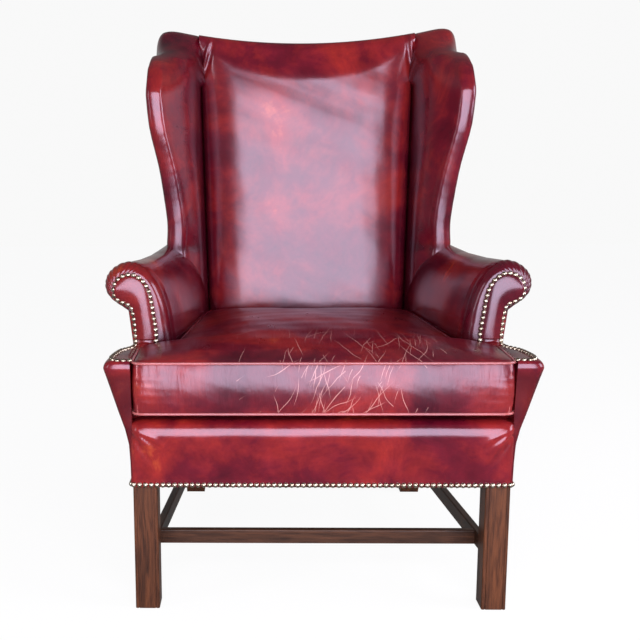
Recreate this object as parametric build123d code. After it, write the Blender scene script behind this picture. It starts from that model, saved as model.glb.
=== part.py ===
from build123d import *
import math
import os

# Wing chair in leather on a hardwood frame.
# Lengths are millimetres. X runs to the viewer's right and Z runs up. Depths are measured back
# from the front faces of the front legs. A right-hand piece is built and mirrored to the left.

# Whole chair
leather_hem = 243.0
hem_drop = 3.0
rail_height = 85.0
front_half_width = 352.0
rear_half_width = 300.0
post_front_depth = 618.0
post_depth = 44.0
back_lean_share = 0.075
foot_back_depth = 761.0
leather = 3.0

# Joinery
fit_gap = 0.15
mortise_relief = 1.0
tenon_thickness = 12.0
tenon_length = 22.0
tenon_shoulder = 8.0
seat_gap = 0.3
overrun = 60.0

# Front legs
leg_side = 46.0
leg_bead = 6.0
leg_quirk = 1.6

# Rear legs and back posts
foot_length = 46.0
leg_bow = 14.0
scarf_height = 60.0
post_tenon_height = 30.0

# Seat rails and corner blocks
rail_thickness = 26.0
front_rail_setback = 8.0
block_length = 62.0
block_height = 40.0
block_rise = 20.0

# Stretchers
stretcher_underside = 92.0
stretcher_height = 28.0
stretcher_thickness = 16.0
stretcher_inset = 5.0
stretcher_round = 3.0
stretcher_tenon = 9.0
cross_stretcher_depth = 105.0
cross_tenon_length = 11.0

# Webbing, springs and dust cover under the seat
strap_width = 50.0
strap_thickness = 1.5
strap_pitch = 105.0
strap_row_depth = 110.0
straps_each_way = 5
springs_each_way = 3
spring_radius = 42.0
spring_waist_radius = 27.0
dust_cover_thickness = 1.2
dust_cover_inset = 2.0

# Seat platform and front border
platform_thickness = 53.0
border_half_width = 355.0
border_bulge = 17.0
border_hem = 3.0
border_waist_height = 285.0
border_roll_height = 350.0
border_top_height = 371.0
border_lip_depth = 34.0
border_end_run = 9.0
border_end_share = 0.6
border_waist_share = 0.62
border_roll_share = 0.95
border_top_share = 0.82

# Cushion
cushion_half_width = 347.0
cushion_front_overhang = 21.0
cushion_ear_depth = 138.0
cushion_tongue_front = 281.0
cushion_tongue_back = 228.0
cushion_back_gap = 13.0
cushion_boxing = 94.0
cushion_tilt = 1.7
cushion_crown = 26.0
cushion_crown_margin = 12.0
cushion_corner = 18.0
cushion_back_corner = 34.0
cushion_barrel = 4.0
piping_radius = 3.0
welt_groove = 1.2

# Arms
arm_front_depth = 150.0
arm_top_height = 650.0
arm_length = 590.0
arm_taper = 74.0
arm_rise = 13.0
scroll_radius = 47.0
scroll_centre_front = 372.0
arm_inner_front = 284.5
arm_inner_back = 231.0
arm_inner_lean = 5.0
arm_pad_thickness = 34.0
arm_shoulder_height = 514.0
arm_crown_shares = (-0.28, 0.96)
arm_cheek_shares = (0.26, 0.61)
roll_inset = 20.0
roll_depth = 28.0
roll_back_share = 0.6
arm_post_thickness = 30.0
facing_thickness = 6.0
facing_inner = 318.5
facing_outer = 357.5
facing_neck_height = 525.0
facing_head_radius = 31.0
facing_head_offset = 5.5
facing_angles = (143, 70, -5, -35, -66)
arm_rail_width = 36.0
arm_rail_height = 26.0
arm_rail_drop = 56.0
arm_rail_front = 347.0
arm_rail_back = 280.0

# Scooped brackets beside the cushion, and the outer panels
bracket_top_height = 485.0
bracket_flare = 50.0
bracket_corner = 16.0
bracket_front = 12.0
bracket_bend_share = 0.6
panel_lean_front = 27.0
panel_lean_back = 5.0

# Back
back_stuffing = 49.0
crease_height = 503.0
crease_lean_share = 0.1037
back_half_low = 232.0
back_splay_share = 0.0319
back_crown = 20.0
back_side_fall = 14.0
back_fall_shares = (0.2, 0.5, 0.25)
crest_middle = 1118.0
crest_dip = 34.0
crest_shoulder = 315.0
crest_skin = 11.0
crest_round = 20.0
crest_half_width = 356.0
crest_end_low = 1005.0
crest_rail_low = 1035.0
crest_rail_thickness = 30.0
crest_rail_half_width = 336.0
lower_rail_height = 50.0
lower_rail_rise = 80.0
lower_rail_thickness = 24.0
back_strap_pitch = 110.0
back_straps = 4

# Wings
wing_low_drop = 30.0
wing_top_crease = 1126.0
wing_reach = 168.0
wing_half_width = 363.0
wing_roll = 47.0
wing_drop = 43.0
wing_seam_rise = 5.0
wing_back_half_low = 304.0
wing_back_splay_share = 0.133
wing_post_width = 20.0
wing_post_depth = 36.0
wing_post_inset = 24.0
wing_rail_height = 30.0

# Heights and places that follow from the sizes above
rail_underside = leather_hem + hem_drop
rail_top = rail_underside + rail_height
platform_top = rail_top + platform_thickness
leg_inner = front_half_width - leg_side
rear_inner = rear_half_width - leg_side
leg_middle = front_half_width - leg_side / 2
rear_leg_middle = rear_half_width - leg_side / 2
foot_front_depth = foot_back_depth - foot_length
scarf_low = rail_top + tenon_shoulder
scarf_high = scarf_low + scarf_height
stretcher_top = stretcher_underside + stretcher_height
arm_rail_underside = arm_top_height - arm_rail_drop
arm_rail_top = arm_rail_underside + arm_rail_height
wing_low = arm_top_height - wing_low_drop
wing_seam_height = arm_top_height + wing_seam_rise
arm_post_back = arm_front_depth + arm_post_thickness
crest_top = crest_middle + crest_dip
far_back = foot_back_depth + overrun
crease_depth = post_front_depth - back_stuffing
cushion_back_depth = crease_depth - cushion_back_gap
diagonal_share = math.cos(math.radians(45))
front_edge = -cushion_front_overhang - piping_radius
middle_depth = (front_edge + foot_back_depth) / 2


def post_front(height):
    # Depth of the front face of a back post
    return post_front_depth + back_lean_share * max(0, height - rail_top)


def post_back(height):
    return post_front(height) + post_depth


def side_line(depth):
    # Half width over the side rails
    share = (depth - leg_side) / (post_front_depth - leg_side)
    return front_half_width + (rear_half_width - front_half_width) * min(1, max(0, share))


def crease(height):
    # Depth of the line where the inside back meets an arm or a wing
    return crease_depth + crease_lean_share * max(0, height - crease_height)


def back_half(height):
    # Half width of the inside back
    return back_half_low + back_splay_share * (height - crease_height)


def crest_line(half):
    # Height of the crest over a half width
    return crest_middle + crest_dip * (half / crest_shoulder) ** 2


def straight(first, second):
    # Straight line from one place to another, as a function of depth
    slope = (second[1] - first[1]) / (second[0] - first[0])
    return lambda depth: first[1] + slope * (depth - first[0])


def block(x, y, z):
    body = Box(x[1] - x[0], y[1] - y[0], z[1] - z[0])
    return Pos((x[0] + x[1]) / 2, (y[0] + y[1]) / 2, (z[0] + z[1]) / 2) * body


def outline(points, bulges=None):
    # Closed flat outline. bulges gives the point that the arc of an edge passes through.
    bulges = bulges or {}
    edges = []
    for number, start in enumerate(points):
        end = points[(number + 1) % len(points)]
        if number in bulges:
            edges.append(ThreePointArc(start, bulges[number], end))
        else:
            edges.append(Line(start, end))
    return Face(Wire(edges))


def plan_block(corners, z):
    # Block with an outline seen from above
    return extrude(outline([(x, y, z[0]) for x, y in corners]), z[1] - z[0], dir=(0, 0, 1))


def side_block(corners, x, bulges=None):
    # Block with an outline seen from the side, of depths and heights
    points = [(x[0], depth, height) for depth, height in corners]
    arcs = {edge: (x[0], *place) for edge, place in (bulges or {}).items()}
    return extrude(outline(points, arcs), x[1] - x[0], dir=(1, 0, 0))


def front_block(corners, y, bulges=None):
    # Block with an outline seen from the front
    points = [(across, y[0], height) for across, height in corners]
    arcs = {edge: (place[0], y[0], place[1]) for edge, place in (bulges or {}).items()}
    return extrude(outline(points, arcs), y[1] - y[0], dir=(0, 1, 0))


def slanted(middle, width, y, z):
    # Bar along a slanted middle line, with its ends square to the depth
    near, far = middle(y[0]), middle(y[1])
    half = width / 2
    corners = [(near - half, y[0]), (near + half, y[0]), (far + half, y[1]), (far - half, y[1])]
    return plan_block(corners, z)


def both_sides(piece):
    return piece + mirror(piece, about=Plane.YZ)


def save(name, piece):
    export_step(Pos(0, -middle_depth, 0) * piece, f"parts/{name}.step")


def save_pair(name, piece):
    save(f"{name}_right", piece)
    save(f"{name}_left", mirror(piece, about=Plane.YZ))


# Tenons: grow is zero for the tenon itself and the fit gap for its mortise


def relief(grow):
    return mortise_relief if grow else 0


def cross_tenons(half, y, z, grow, length=tenon_length):
    # Tenons at both ends of a bar across the chair
    centre = (y[0] + y[1]) / 2
    thick = tenon_thickness / 2 + grow
    reach = half + length + relief(grow)
    heights = (z[0] + tenon_shoulder - grow, z[1] - tenon_shoulder + grow)
    return block((-reach, reach), (centre - thick, centre + thick), heights)


def slanted_tenons(middle, y, z, grow, thickness, shoulder):
    # Tenons at both ends of a slanted bar
    run = (y[0] - tenon_length / 2 - relief(grow), y[1] + tenon_length / 2 + relief(grow))
    heights = (z[0] + shoulder - grow, z[1] - shoulder + grow)
    return slanted(middle, thickness + 2 * grow, run, heights)


# Seat rails

rail_z = (rail_underside, rail_top)
front_rail_y = (front_rail_setback, front_rail_setback + rail_thickness)
rear_rail_y = (post_front_depth + post_depth - rail_thickness, post_front_depth + post_depth)
side_rail_y = (leg_side, post_front_depth)
side_rail_line = straight(
    (leg_side, front_half_width - rail_thickness / 2),
    (post_front_depth, rear_half_width - rail_thickness / 2),
)


def front_rail_tenons(grow=0):
    return cross_tenons(leg_inner, front_rail_y, rail_z, grow)


def rear_rail_tenons(grow=0):
    return cross_tenons(rear_inner, rear_rail_y, rail_z, grow)


def side_rail_tenons(grow=0):
    return slanted_tenons(side_rail_line, side_rail_y, rail_z, grow, tenon_thickness, tenon_shoulder)


front_rail = block((-leg_inner, leg_inner), front_rail_y, rail_z) + front_rail_tenons()
rear_rail = block((-rear_inner, rear_inner), rear_rail_y, rail_z) + rear_rail_tenons()
side_rail = slanted(side_rail_line, rail_thickness, side_rail_y, rail_z) + side_rail_tenons()

# Rear legs, raked to the floor and scarfed to the back posts


def rear_leg_blank():
    half_height = leather_hem / 2
    front_bow = (post_front_depth + foot_front_depth) / 2 - leg_bow
    back_bow = (post_front_depth + post_depth + foot_back_depth) / 2 - leg_bow
    corners = [
        (foot_front_depth, 0),
        (foot_back_depth, 0),
        (post_front_depth + post_depth, leather_hem),
        (post_back(rail_top), rail_top),
        (post_back(scarf_low), scarf_low),
        (post_front(scarf_high), scarf_high),
        (post_front(rail_top), rail_top),
        (post_front_depth, leather_hem),
    ]
    bulges = {1: (back_bow, half_height), 7: (front_bow, half_height)}
    return side_block(corners, (rear_inner, rear_half_width), bulges)


# Stretchers

stretcher_z = (stretcher_underside, stretcher_top)
low_share = 1 - stretcher_top / leather_hem
stretcher_back = (
    post_front_depth
    + (foot_front_depth - post_front_depth) * low_share
    - 4 * leg_bow * low_share * (1 - low_share)
)
side_stretcher_y = (leg_side, stretcher_back)
side_stretcher_line = straight(
    (leg_side, leg_middle - stretcher_inset), (foot_front_depth, rear_leg_middle)
)
rear_stretcher_middle = stretcher_back + post_depth / 2
cross_stretcher_y = (cross_stretcher_depth, cross_stretcher_depth + stretcher_thickness)
rear_stretcher_y = (
    rear_stretcher_middle - stretcher_thickness / 2,
    rear_stretcher_middle + stretcher_thickness / 2,
)
cross_stretcher_half = side_stretcher_line(cross_stretcher_y[1]) - stretcher_thickness / 2


def side_stretcher_tenons(grow=0):
    # The tenons run through to the middle of each leg
    return slanted_tenons(
        side_stretcher_line, side_stretcher_y, stretcher_z, grow, stretcher_tenon, stretcher_round
    )


def cross_stretcher_tenons(grow=0):
    return cross_tenons(
        cross_stretcher_half, cross_stretcher_y, stretcher_z, grow, cross_tenon_length
    )


def rear_stretcher_tenons(grow=0):
    return cross_tenons(rear_inner, rear_stretcher_y, stretcher_z, grow)


def rounded_top(bar):
    # Worn round along the upper edges of a stretcher
    top_edges = bar.edges().group_by(Axis.Z)[-1]
    longest = top_edges.sort_by(SortBy.LENGTH)[-2:]
    return fillet(longest, stretcher_round)


side_run = (leg_side, stretcher_back + overrun)
side_bar = rounded_top(slanted(side_stretcher_line, stretcher_thickness, side_run, stretcher_z))
side_bar = (side_bar - rear_leg_blank()).solids().sort_by(Axis.Y)[0]
side_stretcher = side_bar + side_stretcher_tenons() - cross_stretcher_tenons(fit_gap)

cross_reach = cross_stretcher_half + stretcher_thickness / 2
cross_bar = rounded_top(block((-cross_reach, cross_reach), cross_stretcher_y, stretcher_z))
side_bars = both_sides(slanted(side_stretcher_line, stretcher_thickness, side_run, stretcher_z))
cross_bar = (cross_bar - side_bars).solids().sort_by(SortBy.VOLUME)[-1]
cross_stretcher = cross_bar + cross_stretcher_tenons()

rear_bar = rounded_top(block((-rear_inner, rear_inner), rear_stretcher_y, stretcher_z))
rear_stretcher = rear_bar + rear_stretcher_tenons()

# Front legs, with a bead worked down both edges of each outer face


def bead_quirk(x, y):
    return block(x, y, (-overrun, leather_hem))


def front_leg():
    leg = block((leg_inner, front_half_width), (0, leg_side), (0, rail_top))
    corner_edges = leg.edges().filter_by(Axis.Z).sort_by(Axis.Y)[:2]
    leg = fillet(corner_edges, leg_bead / 2)
    shown = (0, leg_quirk)
    sides = (front_half_width - leg_quirk, front_half_width)
    leg -= bead_quirk((leg_inner + leg_bead, leg_inner + leg_bead + leg_quirk), shown)
    leg -= bead_quirk((front_half_width - leg_bead - leg_quirk, front_half_width - leg_bead), shown)
    leg -= bead_quirk(sides, (leg_bead, leg_bead + leg_quirk))
    leg -= bead_quirk(sides, (leg_side - leg_bead - leg_quirk, leg_side - leg_bead))
    sole = leg.faces().sort_by(Axis.Z)[0]
    leg = chamfer(sole.outer_wire().edges(), leg_quirk / 2)
    mortises = front_rail_tenons(fit_gap) + side_rail_tenons(fit_gap)
    return leg - mortises - side_stretcher_tenons(fit_gap)


def rear_leg():
    cuts = rear_rail_tenons(fit_gap) + side_rail_tenons(fit_gap)
    return rear_leg_blank() - cuts - side_stretcher_tenons(fit_gap) - rear_stretcher_tenons(fit_gap)


# Back posts, lower rail and crest rail

lower_rail_low = rail_top + lower_rail_rise
lower_rail_z = (lower_rail_low, lower_rail_low + lower_rail_height)
lower_rail_front = post_front(lower_rail_low) + (post_depth - lower_rail_thickness) / 2
lower_rail_y = (lower_rail_front, lower_rail_front + lower_rail_thickness)


def lower_rail_tenons(grow=0):
    return cross_tenons(rear_inner, lower_rail_y, lower_rail_z, grow)


def crest_tenon(grow=0):
    # Tenon at the top of a post, leaning with it
    top = crest_rail_low + post_tenon_height + relief(grow)
    half = tenon_thickness / 2 + grow
    low_centre = post_front(crest_rail_low) + post_depth / 2
    top_centre = post_front(top) + post_depth / 2
    corners = [
        (low_centre - half, crest_rail_low),
        (low_centre + half, crest_rail_low),
        (top_centre + half, top),
        (top_centre - half, top),
    ]
    inside = tenon_shoulder - grow
    return side_block(corners, (rear_inner + inside, rear_half_width - inside))


def arm_rail_tenon(grow=0):
    run = (post_front_depth, post_front(arm_rail_top) + tenon_length + relief(grow))
    heights = (arm_rail_underside + tenon_shoulder - grow, arm_rail_top - tenon_shoulder + grow)
    return slanted(arm_rail_line, tenon_thickness + 2 * grow, run, heights)


def post_blank():
    corners = [
        (post_back(scarf_low), scarf_low),
        (post_back(crest_rail_low), crest_rail_low),
        (post_front(crest_rail_low), crest_rail_low),
        (post_front(scarf_high), scarf_high),
    ]
    return side_block(corners, (rear_inner, rear_half_width))


arm_rail_line = straight(
    (arm_post_back, arm_rail_front), (post_front(arm_rail_top), arm_rail_back)
)
back_post = post_blank() + crest_tenon() - lower_rail_tenons(fit_gap) - arm_rail_tenon(fit_gap)
lower_back_rail = block((-rear_inner, rear_inner), lower_rail_y, lower_rail_z) + lower_rail_tenons()


def crest_rail_blank():
    # Serpentine rail, cut to the crest's line and leaning with the posts
    setback = (post_depth - crest_rail_thickness) / 2
    end_top = crest_line(crest_shoulder) - crest_skin
    high = crest_top + overrun
    corners = [
        (-crest_rail_half_width, crest_rail_low),
        (crest_rail_half_width, crest_rail_low),
        (crest_rail_half_width, end_top - crest_round),
        (crest_shoulder, end_top),
        (-crest_shoulder, end_top),
        (-crest_rail_half_width, end_top - crest_round),
    ]
    corner = (crest_rail_half_width - crest_skin / 2, end_top - crest_round / 3)
    bulges = {
        2: corner,
        3: (0, crest_middle - crest_skin),
        4: (-corner[0], corner[1]),
    }
    face_on = front_block(corners, (post_front_depth, far_back), bulges)
    slab = side_block(
        [
            (post_front(crest_rail_low) + setback, crest_rail_low),
            (post_back(crest_rail_low) - setback, crest_rail_low),
            (post_back(high) - setback, high),
            (post_front(high) + setback, high),
        ],
        (-crest_half_width, crest_half_width),
    )
    return face_on & slab


crest_blank = crest_rail_blank()
crest_rail = crest_blank - both_sides(crest_tenon(fit_gap))

# Arm posts, cut to the scroll, and arm rails


def facing_outline(low):
    # Outline of the facing panel and of the post behind it. low gives its two lower corners.
    centre_x = scroll_centre_front - facing_head_offset
    centre_z = arm_top_height - scroll_radius - facing_head_offset
    radius = facing_head_radius

    def head(degrees):
        angle = math.radians(degrees)
        return centre_x + radius * math.cos(angle), centre_z + radius * math.sin(angle)

    neck = facing_neck_height
    inner_neck = (facing_inner + facing_head_offset / 4, neck)
    outer_neck = (facing_outer + facing_head_offset, neck + scroll_radius / 3)
    start, crown, tip, chin, throat = [head(degrees) for degrees in facing_angles]
    inner_bend = (facing_inner + roll_inset / 2, (neck + start[1]) / 2)
    outer_bend = (outer_neck[0] + facing_head_offset, (outer_neck[1] + throat[1]) / 2)
    corners = [low[0], inner_neck, start, tip, throat, outer_neck, low[1]]
    bulges = {1: inner_bend, 2: crown, 3: chin, 4: outer_bend}
    return corners, bulges


def arm_post_blank():
    low = [
        (side_line(arm_post_back) - rail_thickness, rail_top),
        (side_line(arm_post_back), rail_top),
    ]
    corners, bulges = facing_outline(low)
    return front_block(corners, (arm_front_depth, arm_post_back), bulges)


def arm_rail_post_tenon(grow=0):
    run = (arm_post_back - tenon_length - relief(grow), arm_post_back)
    heights = (arm_rail_underside + tenon_shoulder - grow, arm_rail_top - tenon_shoulder + grow)
    return slanted(arm_rail_line, tenon_thickness + 2 * grow, run, heights)


arm_rail_run = (arm_post_back, post_front(arm_rail_top) + post_depth / 2)
arm_rail_z = (arm_rail_underside, arm_rail_top)
arm_rail = slanted(arm_rail_line, arm_rail_width, arm_rail_run, arm_rail_z) - post_blank()
arm_rail = arm_rail.solids().sort_by(Axis.Y)[0] + arm_rail_post_tenon() + arm_rail_tenon()
arm_post = arm_post_blank() - arm_rail_post_tenon(fit_gap)

# Wings: each row follows the front edge up the wing. The shares are of the crease's rise, of the
# drop from the crease to the front edge, of the reach, of the half width and of the roll.

wing_shares = [
    (0.000, 0.00, 0.48, 0.887, 1.00),
    (0.069, 0.00, 0.54, 0.895, 1.00),
    (0.172, 0.00, 0.58, 0.890, 1.00),
    (0.296, 0.00, 0.65, 0.909, 0.96),
    (0.423, 0.00, 0.75, 0.934, 0.85),
    (0.585, 0.00, 0.89, 0.981, 0.74),
    (0.702, 0.09, 0.96, 0.997, 0.70),
    (0.787, 0.47, 0.98, 1.000, 0.68),
    (0.866, 0.79, 0.92, 0.995, 0.66),
    (0.929, 0.93, 0.81, 0.991, 0.62),
    (0.978, 1.00, 0.62, 0.983, 0.51),
    (1.000, 0.98, 0.41, 0.970, 0.34),
]
closed_rows = 8


def wing_row(shares):
    # Crease, front edge and half widths of one row
    rise, drop, reach, half, roll = shares
    height = wing_low + (wing_top_crease - wing_low) * rise
    fall = wing_drop * drop
    front = crease(height) - wing_reach * reach
    outer = wing_half_width * half
    return height, fall, front, outer, outer - wing_roll * roll


def wing_back_half(height):
    wide = wing_back_half_low + wing_back_splay_share * max(0, height - wing_seam_height)
    return min(wide, crest_half_width - leather)


def wing_plane(height, fall, front):
    # Height over the tilted plane of a row
    slope = fall / (crease(height) - front)
    return lambda depth: height - slope * (crease(height) - depth)


def wing_section(shares, number):
    height, fall, front, outer, inner = wing_row(shares)
    level = wing_plane(height, fall, front)
    half_roll = (outer - inner) / 2
    inside = back_half(height) - leather
    back = post_back(height) if number < closed_rows else crease(height) + crest_round
    flush = outer - leather - seat_gap
    back_half_here = min(wing_back_half(height), outer) - leather - seat_gap
    plan = [
        (inside, back),
        (inside, crease(height)),
        (inner, front + half_roll),
        (outer, front + half_roll),
        (flush, front + 2 * half_roll),
        (back_half_here, back),
    ]
    mid = ((inner + outer) / 2, front)
    points = [(x, y, level(y)) for x, y in plan]
    return outline(points, {2: (*mid, level(front))})


def wing_panel_section(shares):
    # Strip of leather over the outer face of the wing
    height, fall, front, outer, inner = wing_row(shares)
    level = wing_plane(height, fall, front)
    start = front + outer - inner + seat_gap
    far = min(wing_back_half(height), outer)
    back = post_back(height)
    plan = [(outer - leather, start), (outer, start), (far, back), (far - leather, back)]
    return outline([(x, y, level(y)) for x, y in plan])


def wing_post_section(height, across, middle):
    half_width, half_depth = wing_post_width / 2, wing_post_depth / 2
    corners = [
        (across - half_width, middle - half_depth, height),
        (across + half_width, middle - half_depth, height),
        (across + half_width, middle + half_depth, height),
        (across - half_width, middle + half_depth, height),
    ]
    return outline(corners)


def wing_post():
    # Stile sawn to the wing's front edge, standing on the arm rail
    sections = []
    for shares in wing_shares[:7]:
        height, fall, front, outer, inner = wing_row(shares)
        sections.append(wing_post_section(height, outer - wing_post_inset, front + wing_post_depth))
    return loft(sections, ruled=True)


def wing_rail():
    # Rail from the top of the stile to the crest rail
    height, fall, front, outer, inner = wing_row(wing_shares[6])
    high = crest_rail_low + tenon_shoulder
    ends = [
        (outer - wing_post_inset, front + wing_post_depth, height - wing_rail_height),
        (crest_rail_half_width - wing_post_width, post_front(high) + post_depth / 2, high),
    ]
    half = wing_post_width / 2
    sections = []
    for across, depth, low in ends:
        corners = [
            (across - half, depth, low),
            (across + half, depth, low),
            (across + half, depth, low + wing_rail_height),
            (across - half, depth, low + wing_rail_height),
        ]
        sections.append(outline(corners))
    bar = loft(sections, ruled=True) - crest_blank - wing_post()
    return bar.solids().sort_by(SortBy.VOLUME)[-1]


# Under the seat


def corner_block(corners):
    low = rail_underside + block_rise
    return plan_block(corners, (low, low + block_height))


def rail_inner(depth):
    return side_line(depth) - rail_thickness


front_block_corners = [
    (leg_inner - block_length, front_rail_y[1]),
    (leg_inner, front_rail_y[1]),
    (leg_inner, leg_side),
    (rail_inner(leg_side), leg_side),
    (rail_inner(leg_side + block_length), leg_side + block_length),
]
rear_block_corners = [
    (rear_inner - block_length, rear_rail_y[0]),
    (rear_inner, rear_rail_y[0]),
    (rear_inner, post_front_depth),
    (rail_inner(post_front_depth), post_front_depth),
    (rail_inner(post_front_depth - block_length), post_front_depth - block_length),
]
corner_blocks = both_sides(corner_block(front_block_corners)) + both_sides(
    corner_block(rear_block_corners)
)

legs_blank = block(
    (leg_inner, front_half_width), (0, leg_side), (0, rail_top)
) + rear_leg_blank()


def webbing():
    # Straps front to back, and straps across beneath them
    low = rail_underside - strap_thickness
    half = strap_width / 2
    straps = []
    for number in range(straps_each_way):
        across = (number - (straps_each_way - 1) / 2) * strap_pitch
        row = strap_row_depth + number * strap_pitch
        reach = side_line(row + half) - leather
        along = (front_rail_y[0], rear_rail_y[1])
        straps.append(block((across - half, across + half), along, (low, rail_underside)))
        under = (low - strap_thickness, low)
        straps.append(block((-reach, reach), (row - half, row + half), under))
    return Part() + straps


def springs():
    # Waisted coil springs, in outline, where the straps cross
    unit = [
        (0, rail_underside),
        (spring_radius, rail_underside),
        (spring_radius, rail_top),
        (0, rail_top),
    ]
    waist = (spring_waist_radius, (rail_underside + rail_top) / 2)
    points = [(x, 0, z) for x, z in unit]
    spring = revolve(outline(points, {1: (waist[0], 0, waist[1])}), Axis.Z)
    first = (straps_each_way - springs_each_way) / 2
    places = []
    for row in range(springs_each_way):
        for column in range(springs_each_way):
            across = (column - (springs_each_way - 1) / 2) * strap_pitch
            places.append(Pos(across, strap_row_depth + (row + first) * strap_pitch, 0))
    return Part() + [place * spring for place in places]


def dust_cover():
    inset = dust_cover_inset
    corners = [
        (-front_half_width + inset, inset),
        (front_half_width - inset, inset),
        (front_half_width - inset, leg_side),
        (rear_half_width - inset, post_front_depth),
        (rear_half_width - inset, rear_rail_y[1] - inset),
        (-rear_half_width + inset, rear_rail_y[1] - inset),
        (-rear_half_width + inset, post_front_depth),
        (-front_half_width + inset, leg_side),
    ]
    cover = plan_block(corners, (leather_hem - dust_cover_thickness, leather_hem))
    return cover - both_sides(legs_blank)


def platform():
    # Stuffed seat under the loose cushion, on top of the springs and rails
    corners = [
        (-front_half_width, border_lip_depth),
        (front_half_width, border_lip_depth),
        (front_half_width, leg_side),
        (rear_half_width, post_front_depth),
        (-rear_half_width, post_front_depth),
        (-front_half_width, leg_side),
    ]
    return plan_block(corners, (rail_top, platform_top)) - both_sides(arm_post_blank())


# Cutting shapes for the upholstery

behind_back = side_block(
    [
        (post_back(rail_underside), -overrun),
        (far_back + overrun, -overrun),
        (far_back + overrun, crest_top + overrun),
        (post_back(crest_top + overrun), crest_top + overrun),
        (post_back(rail_top), rail_top),
    ],
    (-front_half_width - overrun, front_half_width + overrun),
)

back_channel = front_block(
    [
        (-back_half(0) - seat_gap, 0),
        (back_half(0) + seat_gap, 0),
        (back_half(crest_top) + seat_gap, crest_top),
        (back_half(crest_top) + seat_gap, crest_top + overrun),
        (-back_half(crest_top) - seat_gap, crest_top + overrun),
        (-back_half(crest_top) - seat_gap, crest_top),
    ],
    (cushion_back_depth, far_back + overrun),
)
seat_core = plan_block(
    [
        (-front_half_width, 0),
        (front_half_width, 0),
        (front_half_width, leg_side),
        (rear_half_width, post_front_depth),
        (rear_half_width, far_back),
        (-rear_half_width, far_back),
        (-rear_half_width, post_front_depth),
        (-front_half_width, leg_side),
    ],
    (0, platform_top),
)

# Front border: padded leather over the front rail, with a lip below the cushion


def border_section(across, share):
    bulge = border_bulge * share
    points = [
        (0, leather_hem),
        (-border_hem, leather_hem),
        (-border_hem - bulge * border_roll_share, border_roll_height),
        (-border_hem, border_top_height),
        (border_lip_depth, border_top_height),
        (border_lip_depth, rail_top),
        (0, rail_top),
    ]
    arcs = {
        1: (-border_hem - bulge * border_waist_share, border_waist_height),
        2: (
            -border_hem - bulge * border_top_share,
            (border_roll_height + border_top_height) / 2,
        ),
    }
    places = {edge: (across, *place) for edge, place in arcs.items()}
    return outline([(across, y, z) for y, z in points], places)


def front_border():
    inner = border_half_width - border_end_run
    stations = [
        (-border_half_width, border_end_share),
        (-inner, 1),
        (0, 1),
        (inner, 1),
        (border_half_width, border_end_share),
    ]
    border = loft([border_section(x, share) for x, share in stations], ruled=True)
    sides = block(
        (front_half_width, border_half_width + overrun), (0, overrun), (0, platform_top)
    )
    return border - both_sides(sides)


# Outer side panels, from the arm's roll down to the hem


def panel_outer(depth, height):
    # Half width over the leather of a side panel
    run = (depth - arm_front_depth) / (post_front_depth - arm_front_depth)
    lean = panel_lean_front + (panel_lean_back - panel_lean_front) * min(1, max(0, run))
    rise = (height - rail_top) / (arm_top_height - 2 * scroll_radius - rail_top)
    return side_line(depth) + leather + lean * max(0, rise)


def panel_section(depth):
    top = arm_section_sizes(depth)[3]
    points = [
        (side_line(depth), leather_hem),
        (side_line(depth) + leather, leather_hem),
        (side_line(depth) + leather, rail_top),
        (panel_outer(depth, top), top),
        (panel_outer(depth, top) - leather, top),
        (side_line(depth), rail_top),
    ]
    return outline([(x, depth, z) for x, z in points])


# Arms: sections across the arm, from the gathered front edge to the back

arm_shares = [
    (0.049, 1.00, 0.00, 0.00),
    (0.254, 0.96, 0.26, -0.55),
    (0.458, 0.89, 0.49, -0.55),
    (0.627, 0.80, 0.68, 0.10),
    (0.763, 0.73, 0.83, 0.77),
    (1.000, 0.66, 1.00, 1.00),
]
gather_shares = [(0.0, 1.0), (0.1, 0.55), (0.4, 0.17)]


def between(table, place):
    # Values of a table's rows at a place between them
    for low, high in zip(table, table[1:]):
        if place <= high[0]:
            share = max(0, (place - low[0]) / (high[0] - low[0]))
            return [a + (b - a) * share for a, b in zip(low[1:], high[1:])]
    return table[-1][1:]


def arm_section_sizes(depth):
    # Scroll radius, its centre and the height of its underside
    place = (depth - arm_front_depth) / arm_length
    radius_share, taper_share, rise_share = between(arm_shares, place)
    radius = scroll_radius * radius_share
    centre_x = scroll_centre_front - arm_taper * taper_share
    centre_z = arm_top_height + arm_rise * rise_share - radius
    return radius, centre_x, centre_z, centre_z - radius


def arm_inner(depth):
    # Half width between the arms at the seat
    share = (depth - arm_front_depth) / (crease_depth - arm_front_depth)
    return arm_inner_front + (arm_inner_back - arm_inner_front) * min(1, share)


def arm_section(depth, inset):
    radius, centre_x, centre_z, underside = arm_section_sizes(depth)
    held = radius - inset
    inner = arm_inner(depth) + inset
    shoulder = inner + arm_inner_lean
    pad_back = arm_inner(depth) + arm_pad_thickness + inset * roll_back_share
    crown = (centre_x + held * arm_crown_shares[0], centre_z + held * arm_crown_shares[1])
    cheek = (
        shoulder + (crown[0] - shoulder) * arm_cheek_shares[0],
        arm_shoulder_height + (crown[1] - arm_shoulder_height) * arm_cheek_shares[1],
    )
    diagonal = held * diagonal_share
    points = [
        (inner, platform_top),
        (shoulder, arm_shoulder_height),
        crown,
        (centre_x + held, centre_z),
        (centre_x, centre_z - held),
        (pad_back, centre_z - held),
        (pad_back, platform_top),
    ]
    arcs = {
        1: cheek,
        2: (centre_x + diagonal, centre_z + diagonal),
        3: (centre_x + diagonal, centre_z - diagonal),
    }
    places = {edge: (x, depth, z) for edge, (x, z) in arcs.items()}
    return outline([(x, depth, z) for x, z in points], places)


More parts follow.
